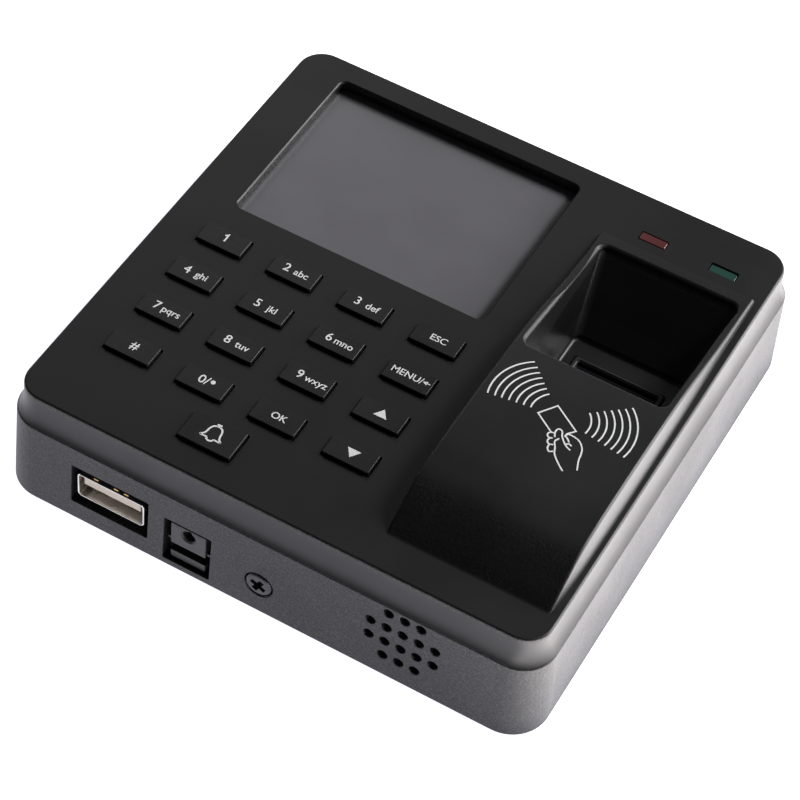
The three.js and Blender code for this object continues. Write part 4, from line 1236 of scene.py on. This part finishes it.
def speaker():
    (x0, y0, _), (x1, _, _) = node_box("speaker")
    cx, _, cz = node_centre("speaker")
    radius = (x1 - x0) / 2
    outside = [
        (0.0, radius - 0.2), (0.2, radius), (1.2, radius), (1.3, radius - 0.6), (3.2, radius - 1.6),
        (4.5, radius - 1.8),
    ]
    bore = [(0.0, radius - 0.9), (1.02, radius - 0.9), (1.9, 2.0), (1.6, 1.4), (1.3, 0.4)]
    basket = turned("speaker_basket", (cx, y0, cz), (0, 1, 0), outside, 40)
    cut(basket, turned("cone_bore", (cx, y0 - 1.0, cz), (0, 1, 0), bore, 40))
    return finish_piece(basket, "chip", "speaker")


speaker()
keypad_mat()

# --- carried-over nodes

KEPT_LOOKS = {
    "rear_cover": "inner", "wall_plate": "plate_steel", "clock_battery": "plate_steel",
    "display_tray": "plate_steel", "display_panel": "panel", "display_ribbon": "film",
    "keypad_ribbon": "film",
    "keypad_board": "board", "lamp_board": "board", "reader_board": "board", "main_board": "board",
    "sensor_board": "board", "sensor_prism": "prism", "sensor_camera": "chip", "reader_coil": "coil",
    "lamp_red": "lamp_body", "lamp_green": "lamp_body", "processor": "chip", "memory_chip": "chip",
}
BEVELLED = ("wall_plate", "rear_cover", "processor", "memory_chip", "clock_battery", "display_tray")
for node, look in KEPT_LOOKS.items():
    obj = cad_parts[node]
    obj.data.materials.clear()
    obj.data.materials.append(LOOKS[look].material)
    if node in BEVELLED:
        bevel = obj.modifiers.new("soft_edges", "BEVEL")
        bevel.width = 0.12 * MM
        bevel.segments = 2
        bevel.limit_method = "ANGLE"
        bevel.angle_limit = math.radians(40)

# --- studio


def paper_look():
    """White paper that glows, four times as strongly on the right, as a painted pool of light that is bluish
    on the left and pinkish on the right.
    """
    s = Shader("studio_paper", (0.93, 0.93, 0.93), 0.9)
    # painted pool of light: the glow rises and warms towards the right
    right = s.above(s.axis(0), 48.0, 62.0)
    s.link(s.blend(right, (0.97, 0.955, 1.07), (1.0, 0.95, 0.955)), s.bsdf.inputs["Emission Color"])
    s.link(s.remap(right, 0.0, 1.0, 1.1, 4.4, False), s.bsdf.inputs["Emission Strength"])
    return s.material


def studio():
    """The floor, which shows as plain white paper, and a dim world."""
    size = 3.0
    corners = [(-size, -size, 0), (size, -size, 0), (size, size, 0), (-size, size, 0)]
    floor_mesh = bpy.data.meshes.new("studio_floor")
    floor_mesh.from_pydata(corners, [], [(0, 1, 2, 3)])
    floor_mesh.materials.append(paper_look())
    put("studio_floor", floor_mesh)
    world = bpy.data.worlds.new("studio_world")
    world.use_nodes = True
    fill(world.node_tree.nodes["Background"], Color=(1.0, 1.0, 1.0, 1.0), Strength=0.03)
    bpy.context.scene.world = world
    bpy.context.scene.view_settings.view_transform = "Standard"


def area_light(name, position, target, size, power, colour=(1.0, 1.0, 1.0)):
    data = bpy.data.lights.new(name, "AREA")
    data.shape = "RECTANGLE"
    data.size, data.size_y = size
    data.energy = power
    data.color = colour
    light = put(name, data)
    light.location = position
    direction = Vector(target) - Vector(position)
    light.rotation_euler = direction.to_track_quat("-Z", "Y").to_euler()


def camera():
    """The photograph's view: its place and its own axes, fitted to the photo's outline."""
    place = (0.12232, -0.27924, 0.36723)
    right = Vector((0.8703967, 0.4862584, 0.0772168))
    up = Vector((-0.4183162, 0.6476532, 0.6368334))
    back = Vector((0.2596559, -0.5865987, 0.767125))
    data = bpy.data.cameras.new("camera")
    data.lens = 121.72
    data.sensor_width = 36.0
    data.clip_start = 0.01
    obj = put("camera", data)
    obj.matrix_world = Matrix.Translation(place) @ Matrix((right, up, back)).transposed().to_4x4()
    bpy.context.scene.camera = obj


studio()
area_light("key_light", (0.82, 0.62, 0.27), (0.0, 0.0, 0.02), (0.9, 0.4), 8.0, (0.97, 0.98, 1.0))
area_light("back_light", (-0.75, 0.95, 0.8), (0.0, 0.0, 0.0), (0.9, 0.5), 2.2)
area_light("high_light", (0.8, 0.85, 0.95), (0.0, 0.0, 0.0), (0.5, 0.5), 19.0)
camera()
